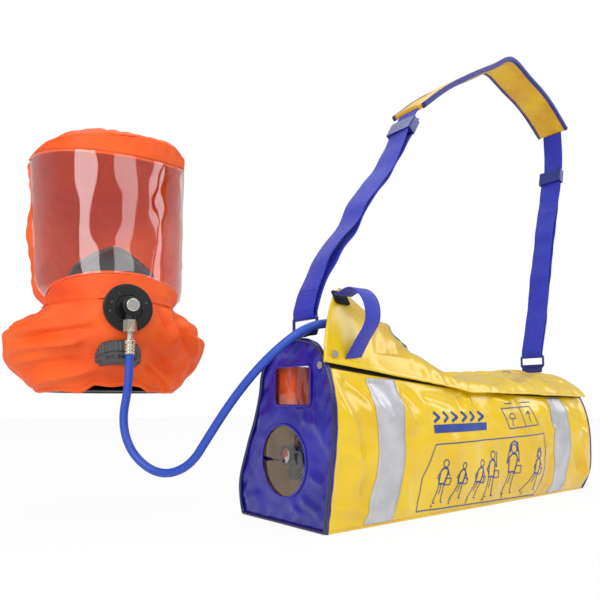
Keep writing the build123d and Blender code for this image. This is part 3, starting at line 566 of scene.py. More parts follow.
def shapeHood(points):
    # leaning crown, soft folds and the slack of the cloth, pushed along the normal
    x, y, z = points[..., 0], points[..., 1], points[..., 2]
    normal = -gridNormals(points, closeU=True)
    rise = np.clip((z - 325) / 60, 0, 1)
    rise = rise * rise * (3 - 2 * rise)
    angle = np.degrees(np.arctan2(x, -(y + 5)))
    cloth = np.ones_like(x)
    cloth[:len(across), firstVisor:lastVisor + 1] = 0.0
    row = np.arange(points.shape[1])[None, :]
    far = np.abs(row - (firstVisor + lastVisor) / 2) - (lastVisor - firstVisor) / 2
    beside = np.clip(np.where(np.arange(points.shape[0])[:, None] < len(across), far / 6, 1), 0, 1)
    push = unevenness(angle * 1.9, z, 80, 2.2, 4) + unevenness(angle * 1.9, z, 34, 0.9, 9)
    push += foldHeight(angle, z, [
        (-118, 362, -66, 374, 8, 7), (-122, 346, -96, 352, 6, -3), (-105, 318, -84, 250, 7, 4),
        (-96, 300, -88, 210, 5, -4), (-70, 385, -30, 398, 8, 5), (-60, 374, -20, 388, 5, -4),
        (100, 340, 88, 230, 6, 4), (112, 330, 100, 180, 6, -4), (86, 372, 130, 350, 8, 5),
        (150, 350, 170, 160, 9, 6), (-150, 340, -172, 150, 9, 5), (-140, 240, -100, 150, 7, 5),
        (135, 220, 96, 150, 7, 5), (20, 392, 60, 380, 7, 4), (-20, 404, 10, 410, 6, 3),
    ])
    moved = points + normal * (push * cloth * beside)[..., None]
    moved[..., 2] += hood["tilt"] * x * rise
    film = 1 - cloth
    s = np.r_[across, np.ones(len(backShare))][:, None]
    t = np.clip((row - firstVisor) / (lastVisor - firstVisor), 0, 1)
    pillow = np.sin(math.pi * np.clip((s + 1) / 2, 0, 1)) * np.sin(math.pi * t)
    ripple = (1.6 * np.sin(s * 9 + t * 5) + 1.1 * np.sin(s * 17 - t * 7 + 1) + 0.8 * np.sin(s * 5 + t * 19 + 2))
    return moved + normal * (film * pillow * (3 + 0.65 * ripple))[..., None]


hoodGrid = shapeHood(hoodGrid)
nu, nv = hoodGrid.shape[:2]
iu, iv = np.meshgrid(np.arange(nu), np.arange(nv - 1), indexing="ij")
isVisor = (iu < len(across) - 1) & (iv >= firstVisor) & (iv < lastVisor)
quads = np.stack([iu * nv + iv, iu * nv + iv + 1, (iu + 1) % nu * nv + iv + 1, (iu + 1) % nu * nv + iv], -1)
placed = inHood(hoodGrid)


def cutOut(name, chosen, flip=False):
    # the chosen faces of the hood's grid as a piece of their own
    faces = quads[chosen]
    used, renumbered = np.unique(faces, return_inverse=True)
    faces = renumbered.reshape(faces.shape)
    piece = meshPiece(name, placed.reshape(-1, 3)[used], (faces[:, ::-1] if flip else faces).tolist())
    form = bmesh.new()
    form.from_mesh(piece.data)
    bmesh.ops.remove_doubles(form, verts=form.verts, dist=0.05 * mm)
    bmesh.ops.dissolve_degenerate(form, edges=form.edges, dist=0.01 * mm)
    form.to_mesh(piece.data)
    form.free()
    return piece


shell = thicken(cutOut("hoodShellCloth", ~isVisor), hood["cloth"])
settle(shell, "orangeHood", "set", ["hood_shell"])
film = thicken(cutOut("visorFilm", isVisor), hood["visorFilm"])
settle(film, "film", "set", ["visor"])

gridNormal = -gridNormals(hoodGrid, closeU=True)
front = len(across) - 1


def visorLoop(values):
    # once round the window: along the bottom, up one side, back along the top and down the other
    return np.concatenate([values[:front, firstVisor], values[front, firstVisor:lastVisor],
                           values[front:0:-1, lastVisor], values[0, lastVisor:firstVisor:-1]])


loop, loopNormal = visorLoop(hoodGrid), visorLoop(gridNormal)
ahead = headings(loop, 3)
loopSide = np.cross(loopNormal, ahead)
bandSection = roundedBar(9, 1.6, 0.7)
zero = np.zeros(3)
band = carry("visorBinding", inHood(loop + loopNormal * 0.9), inHood(loopSide) - inHood(zero),
             inHood(loopNormal) - inHood(zero), bandSection, closed=True)
settle(band, "orangeHood")
for number, shift in enumerate((-3.0, 3.0)):
    stitches("visorStitch" + "AB"[number], inHood(loop + loopNormal * 1.75 + loopSide * shift),
             inHood(loopNormal) - inHood(zero), 3.4, 2.2, "orangeHood", "set")


print("collar")
collar = {
    "columns": 320, "rows": 130, "cloth": 1.4,
    "folds": [
        (-47, 147, -122, 98, 11, 5), (-50, 129, -119, 88, 6, -5), (-34, 82, -140, 66, 7, 5),
        (-53, 66, -109, 60, 5, -5), (-50, 41, -137, 26, 8, 6), (-30, 30, -120, 8, 6, -4),
        (22, 57, 100, 16, 10, 6), (22, 41, 84, -2, 6, 5), (31, 23, 72, 1, 4, -4), (40, 132, 66, 85, 7, 5),
        (56, 118, 78, 70, 5, -5), (74, 116, 104, 60, 7, 5), (92, 108, 120, 52, 5, -4),
        (-84, 112, -120, 104, 5, -4), (-20, 20, 30, 4, 6, 3), (-100, 50, -150, 44, 6, 4),
    ],
}
around = np.linspace(0, math.tau, collar["columns"], endpoint=False)
rise = np.linspace(0, hood["neck"], collar["rows"])
theta, z = np.meshgrid(around, rise, indexing="ij")
collarGrid = hoodPoint(theta, z)
x, y = collarGrid[..., 0], collarGrid[..., 1]
forward = np.clip(0.5 - y / 60, 0, 1)
calm = 1 - np.exp(-(((x + 1) / 46) ** 2 + ((z - 108) / 40) ** 2) ** 2)
calm = calm * (1 - np.exp(-(((x + 7) / 44) ** 2 + ((z - 50) / 40) ** 2) ** 2))
calm = np.where(forward > 0, 1 - (1 - calm) * np.minimum(forward * 3, 1), 1)
endFade = np.minimum(1, (hood["neck"] - z) / 12) * (0.35 + 0.65 * np.minimum(1, z / 16))
push = forward * foldHeight(x, z, collar["folds"])
angle = np.degrees(theta)
backFolds = np.sin(np.radians(angle) * 11 + 0.5) * 2.2 + np.sin(np.radians(angle) * 7 + z / 60) * 1.6
push = push + (1 - forward) * backFolds * np.sin(math.pi * z / hood["neck"]) * 1.4
push = push + unevenness(x * 1.3 + y * 0.7, z, 60, 1.8, 12) + unevenness(x - y, z, 34, 0.3, 5)
push = push + 6 * np.exp(-((z - 90) / 8) ** 2) * np.clip((np.abs(x) - 70) / 60, 0, 1)
push = 1.7 * push * calm * endFade
push = push - 16 * np.exp(-((x + 7) / 42) ** 2 - ((z - 40) / 22) ** 2) * forward
collarNormal = -gridNormals(collarGrid, closeU=True)
collarGrid = collarGrid + collarNormal * push[..., None]
arch = np.clip((x + 47) / 14, 0, 1) * np.clip((44 - x) / 14, 0, 1)
hemLift = np.exp(-(z / 22) ** 2) * forward * (8.5 * arch - 2.4 + np.sin(x / 7))
collarGrid[..., 2] += hemLift
cloth = gridPiece("hoodCollarCloth", inHood(collarGrid), closeU=True)
thicken(cloth, collar["cloth"])
settle(cloth, "orangeHood", "set", ["hood_collar"])
hemLine = collarGrid[:, 0]
ahead = headings(hemLine, 2)
hemUp = collarGrid[:, 6] - collarGrid[:, 0]
hemUp /= np.linalg.norm(hemUp, axis=1, keepdims=True)
hemSide = np.cross(ahead, hemUp)
settle(carry("hoodHem", inHood(hemLine + hemUp * 2.4 - hemSide * 0.4), inHood(hemSide) - inHood(zero),
             inHood(hemUp) - inHood(zero), roundedBar(3.4, 6, 1.5), closed=True),
       "orangeHood")
stitches("hemStitch", inHood(hemLine + hemUp * 7.5 + hemSide * 1.0), inHood(hemSide) - inHood(zero), 3.4, 2.2,
         "orangeHood", "set")

print("bag panels")
bag = {
    "left": -300, "right": 300, "panel": 298, "base": 3, "columns": 240, "rows": 110, "cloth": 2.0,
    "frontFolds": [
        (-292, 150, -250, 60, 12, 5), (-280, 178, -232, 150, 8, -4), (-262, 120, -246, 30, 7, -4),
        (-246, 168, -206, 120, 9, 4), (-196, 160, -168, 112, 9, 4.5), (-184, 168, -150, 140, 7, -4),
        (-180, 60, -172, 12, 8, 3), (-150, 160, -70, 146, 7, -3.5), (-65, 162, -56, 143, 6, -4.5),
        (-48, 160, -40, 138, 7, 3.5), (10, 160, 60, 150, 8, 3), (150, 150, 176, 96, 9, 4),
        (168, 150, 186, 110, 6, -3.5), (176, 70, 170, 14, 9, 4), (226, 150, 262, 96, 10, 5),
        (232, 92, 270, 30, 8, -4), (246, 140, 290, 104, 7, -4), (262, 80, 292, 20, 9, 4),
        (-292, 30, -210, 12, 8, 3.5), (-120, 8, 120, 6, 6, 2.5), (-290, 96, -262, 84, 7, 3),
    ],
    "tapes": {"left": -214, "right": 200}, "tapeWidth": 48, "tapeThickness": 0.6, "tapeLift": 0.9,
}
frontSections = {
    -298: [(-85, 3), (-91, 40), (-98, 85), (-102, 126), (-98, 162), (-89, 190)],
    -150: [(-85, 3), (-96, 38), (-102, 80), (-102, 122), (-98, 152), (-92, 176)],
    40: [(-85, 3), (-97, 35), (-103, 76), (-102, 116), (-98, 143), (-91, 164)],
    298: [(-85, 3), (-98, 30), (-102, 74), (-100, 113), (-94, 140), (-86, 160)],
}
backSections = {
    -298: [(85, 3), (93, 36), (76, 90), (56, 134), (45, 168), (42, 186)],
    0: [(85, 3), (95, 36), (84, 90), (66, 134), (51, 166), (42, 186)],
    298: [(85, 3), (95, 36), (85, 88), (68, 132), (52, 165), (42, 186)],
}


def panelSheet(sections):
    # a wall whose depth is known by height at a few places along the bag: depth and top edge, smooth in between
    places = np.array(sorted(sections), float)
    share = np.linspace(0, 1, bag["rows"])
    depths, tops = [], []
    for place in sorted(sections):
        points = np.array(sections[place], float)
        z = bag["base"] + share * (points[-1, 1] - bag["base"])
        depths.append(throughStations(points[:, 1], points[:, :1], z)[:, 0])
        tops.append([points[-1, 1]])
    along = np.linspace(-bag["panel"], bag["panel"], bag["columns"])
    depth = throughStations(places, np.array(depths), along)
    top = throughStations(places, np.array(tops), along)
    x = np.repeat(along[:, None], bag["rows"], 1)
    z = bag["base"] + share * (top - bag["base"])
    return np.stack([x, depth, z], -1)


def edgeCalm(x, z, top):
    # folds fade out where the cloth is sewn: at the base, the top edge and both ends
    return (np.clip((z - bag["base"]) / 14, 0, 1) * np.clip((top - z) / 10, 0.25, 1)
            * np.clip((bag["panel"] - np.abs(x)) / 10, 0, 1))


front3d = panelSheet(frontSections)
x, z = front3d[..., 0], front3d[..., 2]
push = foldHeight(x, z, bag["frontFolds"]) + unevenness(x, z, 130, 2.6, 21) + unevenness(x, z, 46, 0.9, 33)
push = push + 1.2 * np.sin(x / 9 + np.sin(z / 30) * 2) * np.exp(-((z - 12) / 14) ** 2)
front3d[..., 1] -= push * edgeCalm(x, z, z[:, -1:])
frontCloth = thicken(gridPiece("bagFrontCloth", front3d), bag["cloth"])
settle(frontCloth, "yellowPvc", "set", ["bag_front"])

back3d = panelSheet(backSections)
x, z = back3d[..., 0], back3d[..., 2]
push = unevenness(x, z, 120, 3.0, 41) + unevenness(x, z, 50, 1.0, 43) + foldHeight(x, z, [
    (-280, 160, -230, 60, 14, 6), (-120, 150, -80, 60, 12, 5), (60, 160, 120, 70, 12, -4),
    (200, 150, 270, 50, 13, 6), (-200, 40, -100, 20, 9, 4), (120, 40, 240, 16, 9, 4),
])
back3d[..., 1] += push * edgeCalm(x, z, z[:, -1:])
backCloth = thicken(gridPiece("bagBackCloth", back3d, flip=True), bag["cloth"])
settle(backCloth, "yellowPvc", "set", ["bag_back"])


def onFront(x, z, lift):
    # the place on the front panel at that distance along the bag and that height, lifted off the cloth
    along = (np.asarray(x, float) + bag["panel"]) / (2 * bag["panel"]) * (bag["columns"] - 1)
    i = np.clip(along.astype(int), 0, bag["columns"] - 2)
    f = np.clip(along - i, 0, 1)
    top = front3d[i, -1, 2] * (1 - f) + front3d[i + 1, -1, 2] * f
    up = np.clip((np.asarray(z, float) - bag["base"]) / (top - bag["base"]), 0, 1) * (bag["rows"] - 1)
    j = np.clip(up.astype(int), 0, bag["rows"] - 2)
    g = up - j
    depth = ((front3d[i, j, 1] * (1 - g) + front3d[i, j + 1, 1] * g) * (1 - f)
             + (front3d[i + 1, j, 1] * (1 - g) + front3d[i + 1, j + 1, 1] * g) * f)
    return np.stack([np.broadcast_to(x, depth.shape), depth - lift, np.broadcast_to(z, depth.shape)], -1)


def topOf(x):
    # height of the front panel's top edge at that distance along the bag
    return np.interp(x, front3d[:, 0, 0], front3d[:, -1, 2])


print("tapes, piping and end panels")
for side, middle in bag["tapes"].items():
    share = np.linspace(0, 1, 90)
    bow = (9 * np.sin(math.pi * share) - 4) if side == "left" else (5 * np.sin(math.pi * share) - 2)
    wide = np.linspace(-0.5, 0.5, 11) * bag["tapeWidth"]
    x = middle + wide[:, None] + bow
    z = bag["base"] + 1 + share * (topOf(middle) - 3 - bag["base"])
    grid = onFront(x, np.broadcast_to(z, x.shape), bag["tapeLift"])
    tape = thicken(gridPiece(side + "Tape", grid), bag["tapeThickness"])
    settle(tape, "tape", "set", ["tape_" + side])
    for number, edge in enumerate((1, -2)):
        stitches(side + "TapeStitch" + "AB"[number], grid[edge] + (0, -0.15, 0),
                 np.tile((0.0, -1.0, 0.0), (90, 1)),
                 3.6, 2.4, "tape", "set")


def endOutline(front, crown, back):
    # corners of an end panel: up the front wall's line, over the crown and down the back wall's line
    return np.array([(-85, 0)] + front[1:] + crown + back[:0:-1] + [(85, 0)], float)


outlines = {
    "left": endOutline(frontSections[-298], [(-72, 217), (-40, 229), (-2, 225), (28, 209)],
                       backSections[-298]),
    "right": endOutline(frontSections[298], [(-68, 186), (-40, 199), (5, 208), (32, 200)], backSections[298]),
}
windows = {"round": (-3, 78, 45), "square": (-21, 171, 71, 49), "corner": 6, "film": 0.6}
turn = np.linspace(0, math.tau, 72, endpoint=False)
centreY, centreZ, radius = windows["round"]
roundEdge = np.stack([centreY + radius * np.cos(turn), centreZ + radius * np.sin(turn)], -1)
squareEdge = roundedBar(*windows["square"][2:], windows["corner"], 6) + np.array(windows["square"][:2])


def inside(points, outline):
    # whether points lie inside a closed outline: an odd number of crossings of a ray
    a, b = outline, np.roll(outline, -1, 0)
    px, py = points[:, 0][:, None], points[:, 1][:, None]
    crosses = (a[:, 1] > py) != (b[:, 1] > py)
    height = np.where(b[:, 1] == a[:, 1], 1e-9, b[:, 1] - a[:, 1])
    at = a[:, 0] + (py - a[:, 1]) * (b[:, 0] - a[:, 0]) / height
    return (crosses & (px < at)).sum(1) % 2 == 1


def nearest(points, outline):
    # distance from points to the corners of a closely spaced outline
    return np.linalg.norm(points[:, None] - outline[None], axis=-1).min(1)


def endPanel(side, holes, folds, seed):
    # a flat panel cut to its outline and windows, in small triangles, puckered near its seams
    outline = evenly(np.vstack([outlines[side], outlines[side][:1] + (0.01, 0)]), 220)[:-1]
    outline[:, 1] = np.maximum(outline[:, 1], 0.2)
    lattice = np.stack(np.meshgrid(np.arange(-110, 111, 3.4), np.arange(-2, 236, 3.4), indexing="ij"),
                       -1).reshape(-1, 2)
    edges = [outline] + holes
    keep = inside(lattice, outline) & (nearest(lattice, outline) > 1.5)
    for hole in holes:
        keep &= ~inside(lattice, hole) & (nearest(lattice, hole) > 1.5)
    flat = np.vstack(edges + [lattice[keep]])
    links, start = [], 0
    for edge in edges:
        links += [(start + k, start + (k + 1) % len(edge)) for k in range(len(edge))]
        start += len(edge)
    points, _, triangles, _, _, _ = delaunay_2d_cdt([Vector(p) for p in flat.tolist()], links, [], 0, 1e-4)
    points, triangles = np.array([tuple(p) for p in points]), np.array([tuple(t) for t in triangles])
    centre = points[triangles].mean(1)
    good = inside(centre, outline)
    for hole in holes:
        good &= ~inside(centre, hole)
    y, z = points[:, 0], points[:, 1]
    rim = nearest(points, outline)
    calm = np.clip(rim / 12, 0, 1) * np.clip(z / 16, 0, 1)
    for hole in holes:
        calm = calm * np.clip(nearest(points, hole) / 9, 0.15, 1)
    push = foldHeight(y, z, folds) + unevenness(y, z, 70, 1.4, seed) + unevenness(y, z, 30, 0.4, seed + 1)
    pucker = 1.3 * np.sin((y + z) / 4.2) * np.exp(-((rim - 9) / 6) ** 2)
    sign = -1 if side == "left" else 1
    x = sign * (bag["right"] + np.clip(push * calm + pucker * np.clip(z / 16, 0, 1), -1.5, 6))
    piece = meshPiece(side + "EndCloth", np.stack([x, y, z], -1), triangles[good].tolist())
    form = bmesh.new()
    form.from_mesh(piece.data)
    form.normal_update()
    wrong = [face for face in form.faces if face.normal.x * sign < 0]
    bmesh.ops.reverse_faces(form, faces=wrong)
    form.to_mesh(piece.data)
    form.free()
    thicken(piece, bag["cloth"])
    settle(piece, "bluePvc", "set", [side + "_end_panel"])
    heart = np.array([0.0, 100.0])
    inner = outline + (heart - outline) / np.linalg.norm(heart - outline, axis=1, keepdims=True) * 2.3
    inner[:, 1] = np.maximum(inner[:, 1], 2.4)
    path = np.stack([np.full(len(inner), sign * (bag["right"] + 2.0)), inner[:, 0], inner[:, 1]], -1)
    ahead = headings(path, 1)
    out = np.tile((float(sign), 0.0, 0.0), (len(path), 1))
    settle(carry(side + "PipingRoll", path, np.cross(ahead, out), out, roundedBar(4.6, 4.6, 2.2),
                 closed=True),
           "bluePiping", "set", ["piping_" + side])


endPanel("left", [roundEdge, squareEdge], [
    (-78, 20, -40, 34, 6, 3.5), (-84, 52, -58, 64, 5, 3), (-76, 120, -40, 132, 7, 3),
    (20, 140, 60, 120, 7, 4), (40, 100, 78, 60, 7, -3), (-30, 216, 20, 214, 6, 3), (44, 30, 84, 18, 7, 4),
    (-84, 96, -62, 150, 6, 3), (-66, 140, -50, 200, 5, -2.5), (-60, 14, -20, 22, 5, 3),
    (36, 166, 46, 130, 5, 3),
], 61)
endPanel("right", [], [
    (-80, 30, 10, 60, 10, 5), (-70, 120, 20, 100, 11, 5), (-20, 170, 60, 120, 10, -4),
    (-40, 190, 30, 180, 8, 4), (20, 20, 80, 60, 10, 5), (-60, 60, 40, 20, 9, -4),
], 71)
for name, edge in (("round", roundEdge), ("square", squareEdge)):
    path = np.stack([np.full(len(edge), bag["left"] - 0.6), edge[:, 0], edge[:, 1]], -1)
    ahead = headings(path, 1)
    out = np.tile((-1.0, 0.0, 0.0), (len(path), 1))
    settle(carry(name + "WindowWeld", path, np.cross(ahead, out), out, roundedBar(3.0, 1.8, 0.8),
                 closed=True),
           "bluePvc")
for name, low, high in (("round", (-53, 28), (47, 128)), ("square", (-61, 142), (19, 200))):
    y, z = np.meshgrid(np.linspace(low[0], high[0], 50), np.linspace(low[1], high[1], 50), indexing="ij")
    if name == "round":
        ring, spin = np.meshgrid(np.linspace(0.02, 1, 26) * 49.5, np.linspace(0, math.tau, 72), indexing="ij")
        y, z = centreY + ring * np.cos(spin), centreZ + ring * np.sin(spin)
    swell = 1.2 + unevenness(y, z, 44, 0.8, 81)
    sheet = gridPiece(name + "WindowFilm", np.stack([-297.6 - np.clip(swell, 0, 2) * 0.5, y, z], -1),
                      closeV=name == "round", flip=name == "square")
    settle(thicken(sheet, windows["film"]), "film", "set", [name + "_window"])

print("mouth strip")
along = np.linspace(-bag["panel"], bag["panel"], 200)
edge = front3d[:, -1]
lip = np.stack([np.interp(along, edge[:, 0], edge[:, k]) for k in range(3)], -1)
up = np.tile((0.0, 0.49, 0.87), (200, 1))
side = np.tile((0.0, -0.87, 0.49), (200, 1))
wave = 0.8 * np.sin(along / 21) + 0.5 * np.sin(along / 8)
settle(carry("mouthTape", lip + up * 4.4 + side * (wave[:, None] - 0.4), side, up, roundedBar(2.0, 8.4, 0.8)),
       "blackTape", "set", ["mouth_strip"])

print("flap")
flap = {
    "columns": 200, "rows": 110, "cloth": 2.0, "soft": 13,
    "start": [(42, 188.5), (22, 214), (-14, 262), (-48, 296), (-70, 276), (-85, 236), (-91, 197)],
    "sections": {
        -100: [(42, 188.5), (24, 205), (-8, 217), (-44, 217), (-73, 206), (-92, 189), (-100, 174)],
        -45: [(42, 188.5), (22, 192), (-8, 190), (-42, 186), (-75, 185), (-96, 177), (-104, 165)],
        35: [(42, 188.5), (24, 195), (-7, 196), (-42, 193), (-74, 187), (-94, 177), (-103, 165)],
        120: [(42, 188.5), (24, 199), (-6, 203), (-42, 198), (-72, 189), (-92, 177), (-101, 165)],
        210: [(42, 188.5), (24, 201), (-5, 206), (-42, 200), (-71, 189), (-90, 175), (-99, 163)],
        297: [(42, 188.5), (24, 201), (-4, 208), (-42, 201), (-71, 188), (-89, 173), (-97, 162)],
    },
    "folds": [
        (-240, 150, -120, 60, 10, 5), (-200, 170, -110, 110, 8, -4), (-130, 120, -60, 150, 9, -5),
        (-110, 60, -40, 30, 11, 5), (-70, 100, -20, 120, 8, 4), (0, 60, 120, 90, 12, 4),
        (60, 130, 160, 110, 8, -3), (150, 40, 260, 60, 12, 4), (180, 120, 280, 140, 9, 4),
        (220, 90, 290, 60, 8, -3), (-250, 60, -160, 40, 9, 4),
    ],
}
stations = sorted(flap["sections"])
first = np.array(flap["start"], float)
lines = [evenly(np.c_[-304 + 1.5 * (first[:, 0] + 88), first], flap["rows"])]
for place in stations:
    points = np.array(flap["sections"][place], float)
    lines.append(evenly(np.c_[np.full(len(points), float(place)), points], flap["rows"]))
lines = np.array(lines)
flapAt = np.array([-300.0] + stations)
where = np.linspace(flapAt[0], flapAt[-1], flap["columns"])
k = np.clip(np.searchsorted(flapAt, where, side="right") - 1, 0, len(flapAt) - 2)
f = ((where - flapAt[k]) / (flapAt[k + 1] - flapAt[k]))[:, None, None]
flapGrid = lines[k] * (1 - f) + lines[k + 1] * f
kernel = np.hanning(flap["soft"] + 2)[1:-1]
kernel /= kernel.sum()
half = flap["soft"] // 2
padded = np.concatenate([2 * flapGrid[:1] - flapGrid[half:0:-1], flapGrid,
                         2 * flapGrid[-1:] - flapGrid[-2:-half - 2:-1]])
flapGrid = sum(weight * padded[n:n + flap["columns"]] for n, weight in enumerate(kernel))
flapReach = np.r_[0, np.cumsum(np.linalg.norm(np.diff(flapGrid, axis=1), axis=-1).mean(0))]
flapX, flapV = np.meshgrid(where, flapReach, indexing="ij")
flapNormal = gridNormals(flapGrid)
flapNormal *= np.sign(flapNormal[flap["columns"] // 2, flap["rows"] // 2, 2])
push = foldHeight(flapX, flapV, flap["folds"])
push = push + unevenness(flapX, flapV, 110, 2.2, 91) + unevenness(flapX, flapV, 40, 0.8, 93)
push *= np.clip(flapV / 16, 0, 1) * np.clip((flapReach[-1] - flapV) / 12 + 0.3, 0, 1)
push = np.where((flapX < -235) & (flapV > 60), push * 0.3, push)
low = np.clip((220 - flapGrid[..., 2]) / 10, 0, 1)
push = np.where(low > 0, np.maximum(push, -1.0 * low - (1 - low) * 9), push)
flapGrid = flapGrid + flapNormal * push[..., None]
flapCloth = thicken(gridPiece("flapCloth", flapGrid, flip=True), flap["cloth"])
settle(flapCloth, "yellowPvc", "flap_group", ["flap"])


def onFlap(x, v, lift):
    # the place on the flap at that distance along it and that distance from its hinge, lifted off the cloth
    a = (np.asarray(x, float) - flapAt[0]) / (flapAt[-1] - flapAt[0]) * (flap["columns"] - 1)
    b = np.interp(np.asarray(v, float), flapReach, np.arange(flap["rows"]))
    a, b = np.broadcast_arrays(np.clip(a, 0, flap["columns"] - 1.001), np.clip(b, 0, flap["rows"] - 1.001))
    i, j = a.astype(int), b.astype(int)
    f, g = (a - i)[..., None], (b - j)[..., None]

    def read(values):
        return ((values[i, j] * (1 - g) + values[i, j + 1] * g) * (1 - f)
                + (values[i + 1, j] * (1 - g) + values[i + 1, j + 1] * g) * f)

    return read(flapGrid) + read(flapNormal) * lift, read(flapNormal)


inset = flapReach[-1] - 5
hemX = np.linspace(-296, 294, 400)
hem, hemOut = onFlap(hemX, np.full(400, inset), 0.1)
stitches("flapHemStitch", hem, hemOut, 4.0, 2.8, "padYellow", "flap_group")
sideV = np.linspace(8, inset, 200)
hem, hemOut = onFlap(np.full(200, -293.0), sideV, 0.1)
stitches("flapSideStitch", hem, hemOut, 4.0, 2.8, "padYellow", "flap_group")

print("pull loop")
loopLine = evenly([(-73, 281), (-96, 286), (-117, 270), (-122, 246), (-106, 222), (-91.5, 203)], 80)
path = np.c_[np.full(80, -262.0) + 1.5 * np.sin(np.linspace(0, 5, 80)), loopLine[:, 0], loopLine[:, 1]]
ahead = headings(path)
lean = np.linspace(0.0, -0.16, 80) + 0.06 * np.sin(np.linspace(0, 7, 80))
side = np.c_[np.cos(lean), np.sin(lean) * ahead[:, 2], -np.sin(lean) * ahead[:, 1]]
settle(carry("pullLoopWebbing", path, side, np.cross(ahead, side), roundedBar(28, 1.8, 0.8)),
       "webbing", "flap_group", ["pull_loop"])

print("shoulder strap")
strap = {
    "turn": math.radians(2.88), "width": 38, "gap": 3.5,
    "left": [(-63.1, 595.2), (-138, 474), (-180, 426), (-208, 384), (-238, 352), (-258, 321), (-273, 292),
             (-282, 265)],
    "right": [(414, 711.5), (416, 660), (398, 572), (374, 500), (346, 394), (330, 321), (310, 262),
              (305, 247)],
    "leftBar": (-282, 257.5), "rightBar": (305, 240),
    "pad": [(-64, 595), (-16, 634), (61, 687), (141, 736), (206, 772), (289, 760), (366, 740), (418, 712)],
}
strapX = np.array([math.cos(strap["turn"]), math.sin(strap["turn"]), 0.0])
strapOut = np.array([math.sin(strap["turn"]), -math.cos(strap["turn"]), 0.0])


def onStrap(points):
    # from the upright plane of the strap to the set's frame
    points = np.asarray(points, float)
    upward = np.array([0.0, 0.0, 1.0])
    return np.array([0.0, -9.4, 0.0]) + points[..., :1] * strapX + points[..., 1:2] * upward


def beside(points, distance):
    # the same line moved sideways, to the left of the way it runs
    run = headings(points)
    return points + distance * np.stack([-run[:, 1], run[:, 0]], -1)


for name, sign, free in (("left", -1, 0.97), ("right", 1, 0.80)):
    leg = evenly(strap[name], 150)
    bar = np.array(strap[name + "Bar"])
    down = beside(leg, sign * strap["gap"])
    back = beside(leg, -sign * strap["gap"])[::-1]
    back = back[:int(len(back) * free)]
    turn = np.linspace(0, math.pi, 12)[1:-1]
    across2 = (down[-1] - back[0]) / 2
    centre = np.array([(down[-1][0] + back[0][0]) / 2, bar[1] + 1.2])
    bend = centre + np.cos(turn)[:, None] * across2 - np.sin(turn)[:, None] * np.array([0, 4.3])
    line = np.vstack([down, bend, back])
    run = np.r_[0, np.cumsum(np.linalg.norm(np.diff(line, axis=0), axis=1))]
    even = np.linspace(0, run[-1], 340)
    line = np.stack([np.interp(even, run, line[:, 0]), np.interp(even, run, line[:, 1])], -1)
    path = onStrap(line)
    ahead = headings(path)
    flat = np.cross(ahead, strapOut)
    height = np.clip((path[:, 2] - 265) / 60, 0, 1) * np.clip((620 - path[:, 2]) / 60, 0, 1)
    lean = 0.12 * np.sin(path[:, 2] / 42.0) * height * (1 if name == "left" else 0.8)
    side = np.cos(lean)[:, None] * strapOut + np.sin(lean)[:, None] * flat
    path = path + flat * (height * (0.8 * np.sin(path[:, 2] / 17) + 0.6 * np.sin(path[:, 2] / 7.3)))[:, None]
    settle(carry(name + "StrapWebbing", path, side, np.cross(ahead, side),
                 roundedBar(strap["width"], 1.8, 0.8)),
           "webbing", "set", ["strap_" + name])
    for number, z in enumerate((0.34, 0.38) if name == "right" else (0.93,)):
        spot = int(z * 150)
        centre, along = onStrap(leg[spot]), onStrap(leg[spot + 3]) - onStrap(leg[spot])
        along /= np.linalg.norm(along)
        for face, number2 in ((1, 0), (-1, 1)):
            up = np.cross(along, strapOut) * face
            line = centre + up * 5.0 + strapOut * np.linspace(-17, 17, 30)[:, None]
            stitches(f"{name}StrapSeam{number}{number2}", line, np.tile(up, (30, 1)), 2.6, 2.0,
                     "bindingWebbing")

print("shoulder pad")
padLine = evenly(strap["pad"], 150)
padLine[:, 1] += 2.5 * np.exp(-((padLine[:, 0] - 206) / 40) ** 2)
run = headings(padLine)
upPlane = np.stack([-run[:, 1], run[:, 0]], -1)
middle = padLine + upPlane * 4
path = onStrap(middle)
up = onStrap(upPlane) - onStrap(np.zeros(2))
side = np.tile(strapOut, (150, 1))
angle = np.linspace(0, math.tau, 48, endpoint=False)
cushion = np.stack([27 * np.sign(np.cos(angle)) * np.abs(np.cos(angle)) ** 0.35,
                    4.4 * np.sign(np.sin(angle)) * np.abs(np.sin(angle)) ** 0.6], -1)
slack = 1 + 0.10 * np.sin(np.linspace(0, 31, 150)) + 0.06 * np.sin(np.linspace(0, 77, 150))
section = np.repeat(cushion[None], 150, 0)
section[:, :, 1] *= slack[:, None] * (1 - 0.35 * np.exp(-((np.abs(section[:, :, 0]) - 21) / 3) ** 2))
padCloth = carry("padCushion", path, side, up, section)
settle(padCloth, "padYellow", "set", ["shoulder_pad"])
for name, shift in (("Front", 28), ("Back", -28)):
    edge = path + strapOut * (shift + 0.7 * np.sin(np.linspace(0, 26, 150)))[:, None]
    settle(carry("padBinding" + name, edge, side, up, roundedBar(6.4, 8.2, 2.2)), "bindingWebbing",
           "set", ["pad_binding_" + name.lower()])
    for face in (1, -1):
        line = edge - strapOut * np.sign(shift) * 1.6 + up * (4.2 * face)
        stitches(f"padStitch{name}{'Top' if face > 0 else 'Under'}", line, up * face, 3.4, 2.4, "padYellow")

print("printing")
printed = {"line": 1.5, "thick": 2.4, "lift": 0.45}


def circle(x, z, radius, count=18, start=0.0, end=math.tau):
    # points on an arc: centre plus radius times cosine and sine
    angle = np.linspace(start, end, count)
    return [(x + radius * math.cos(a), z + radius * math.sin(a)) for a in angle]


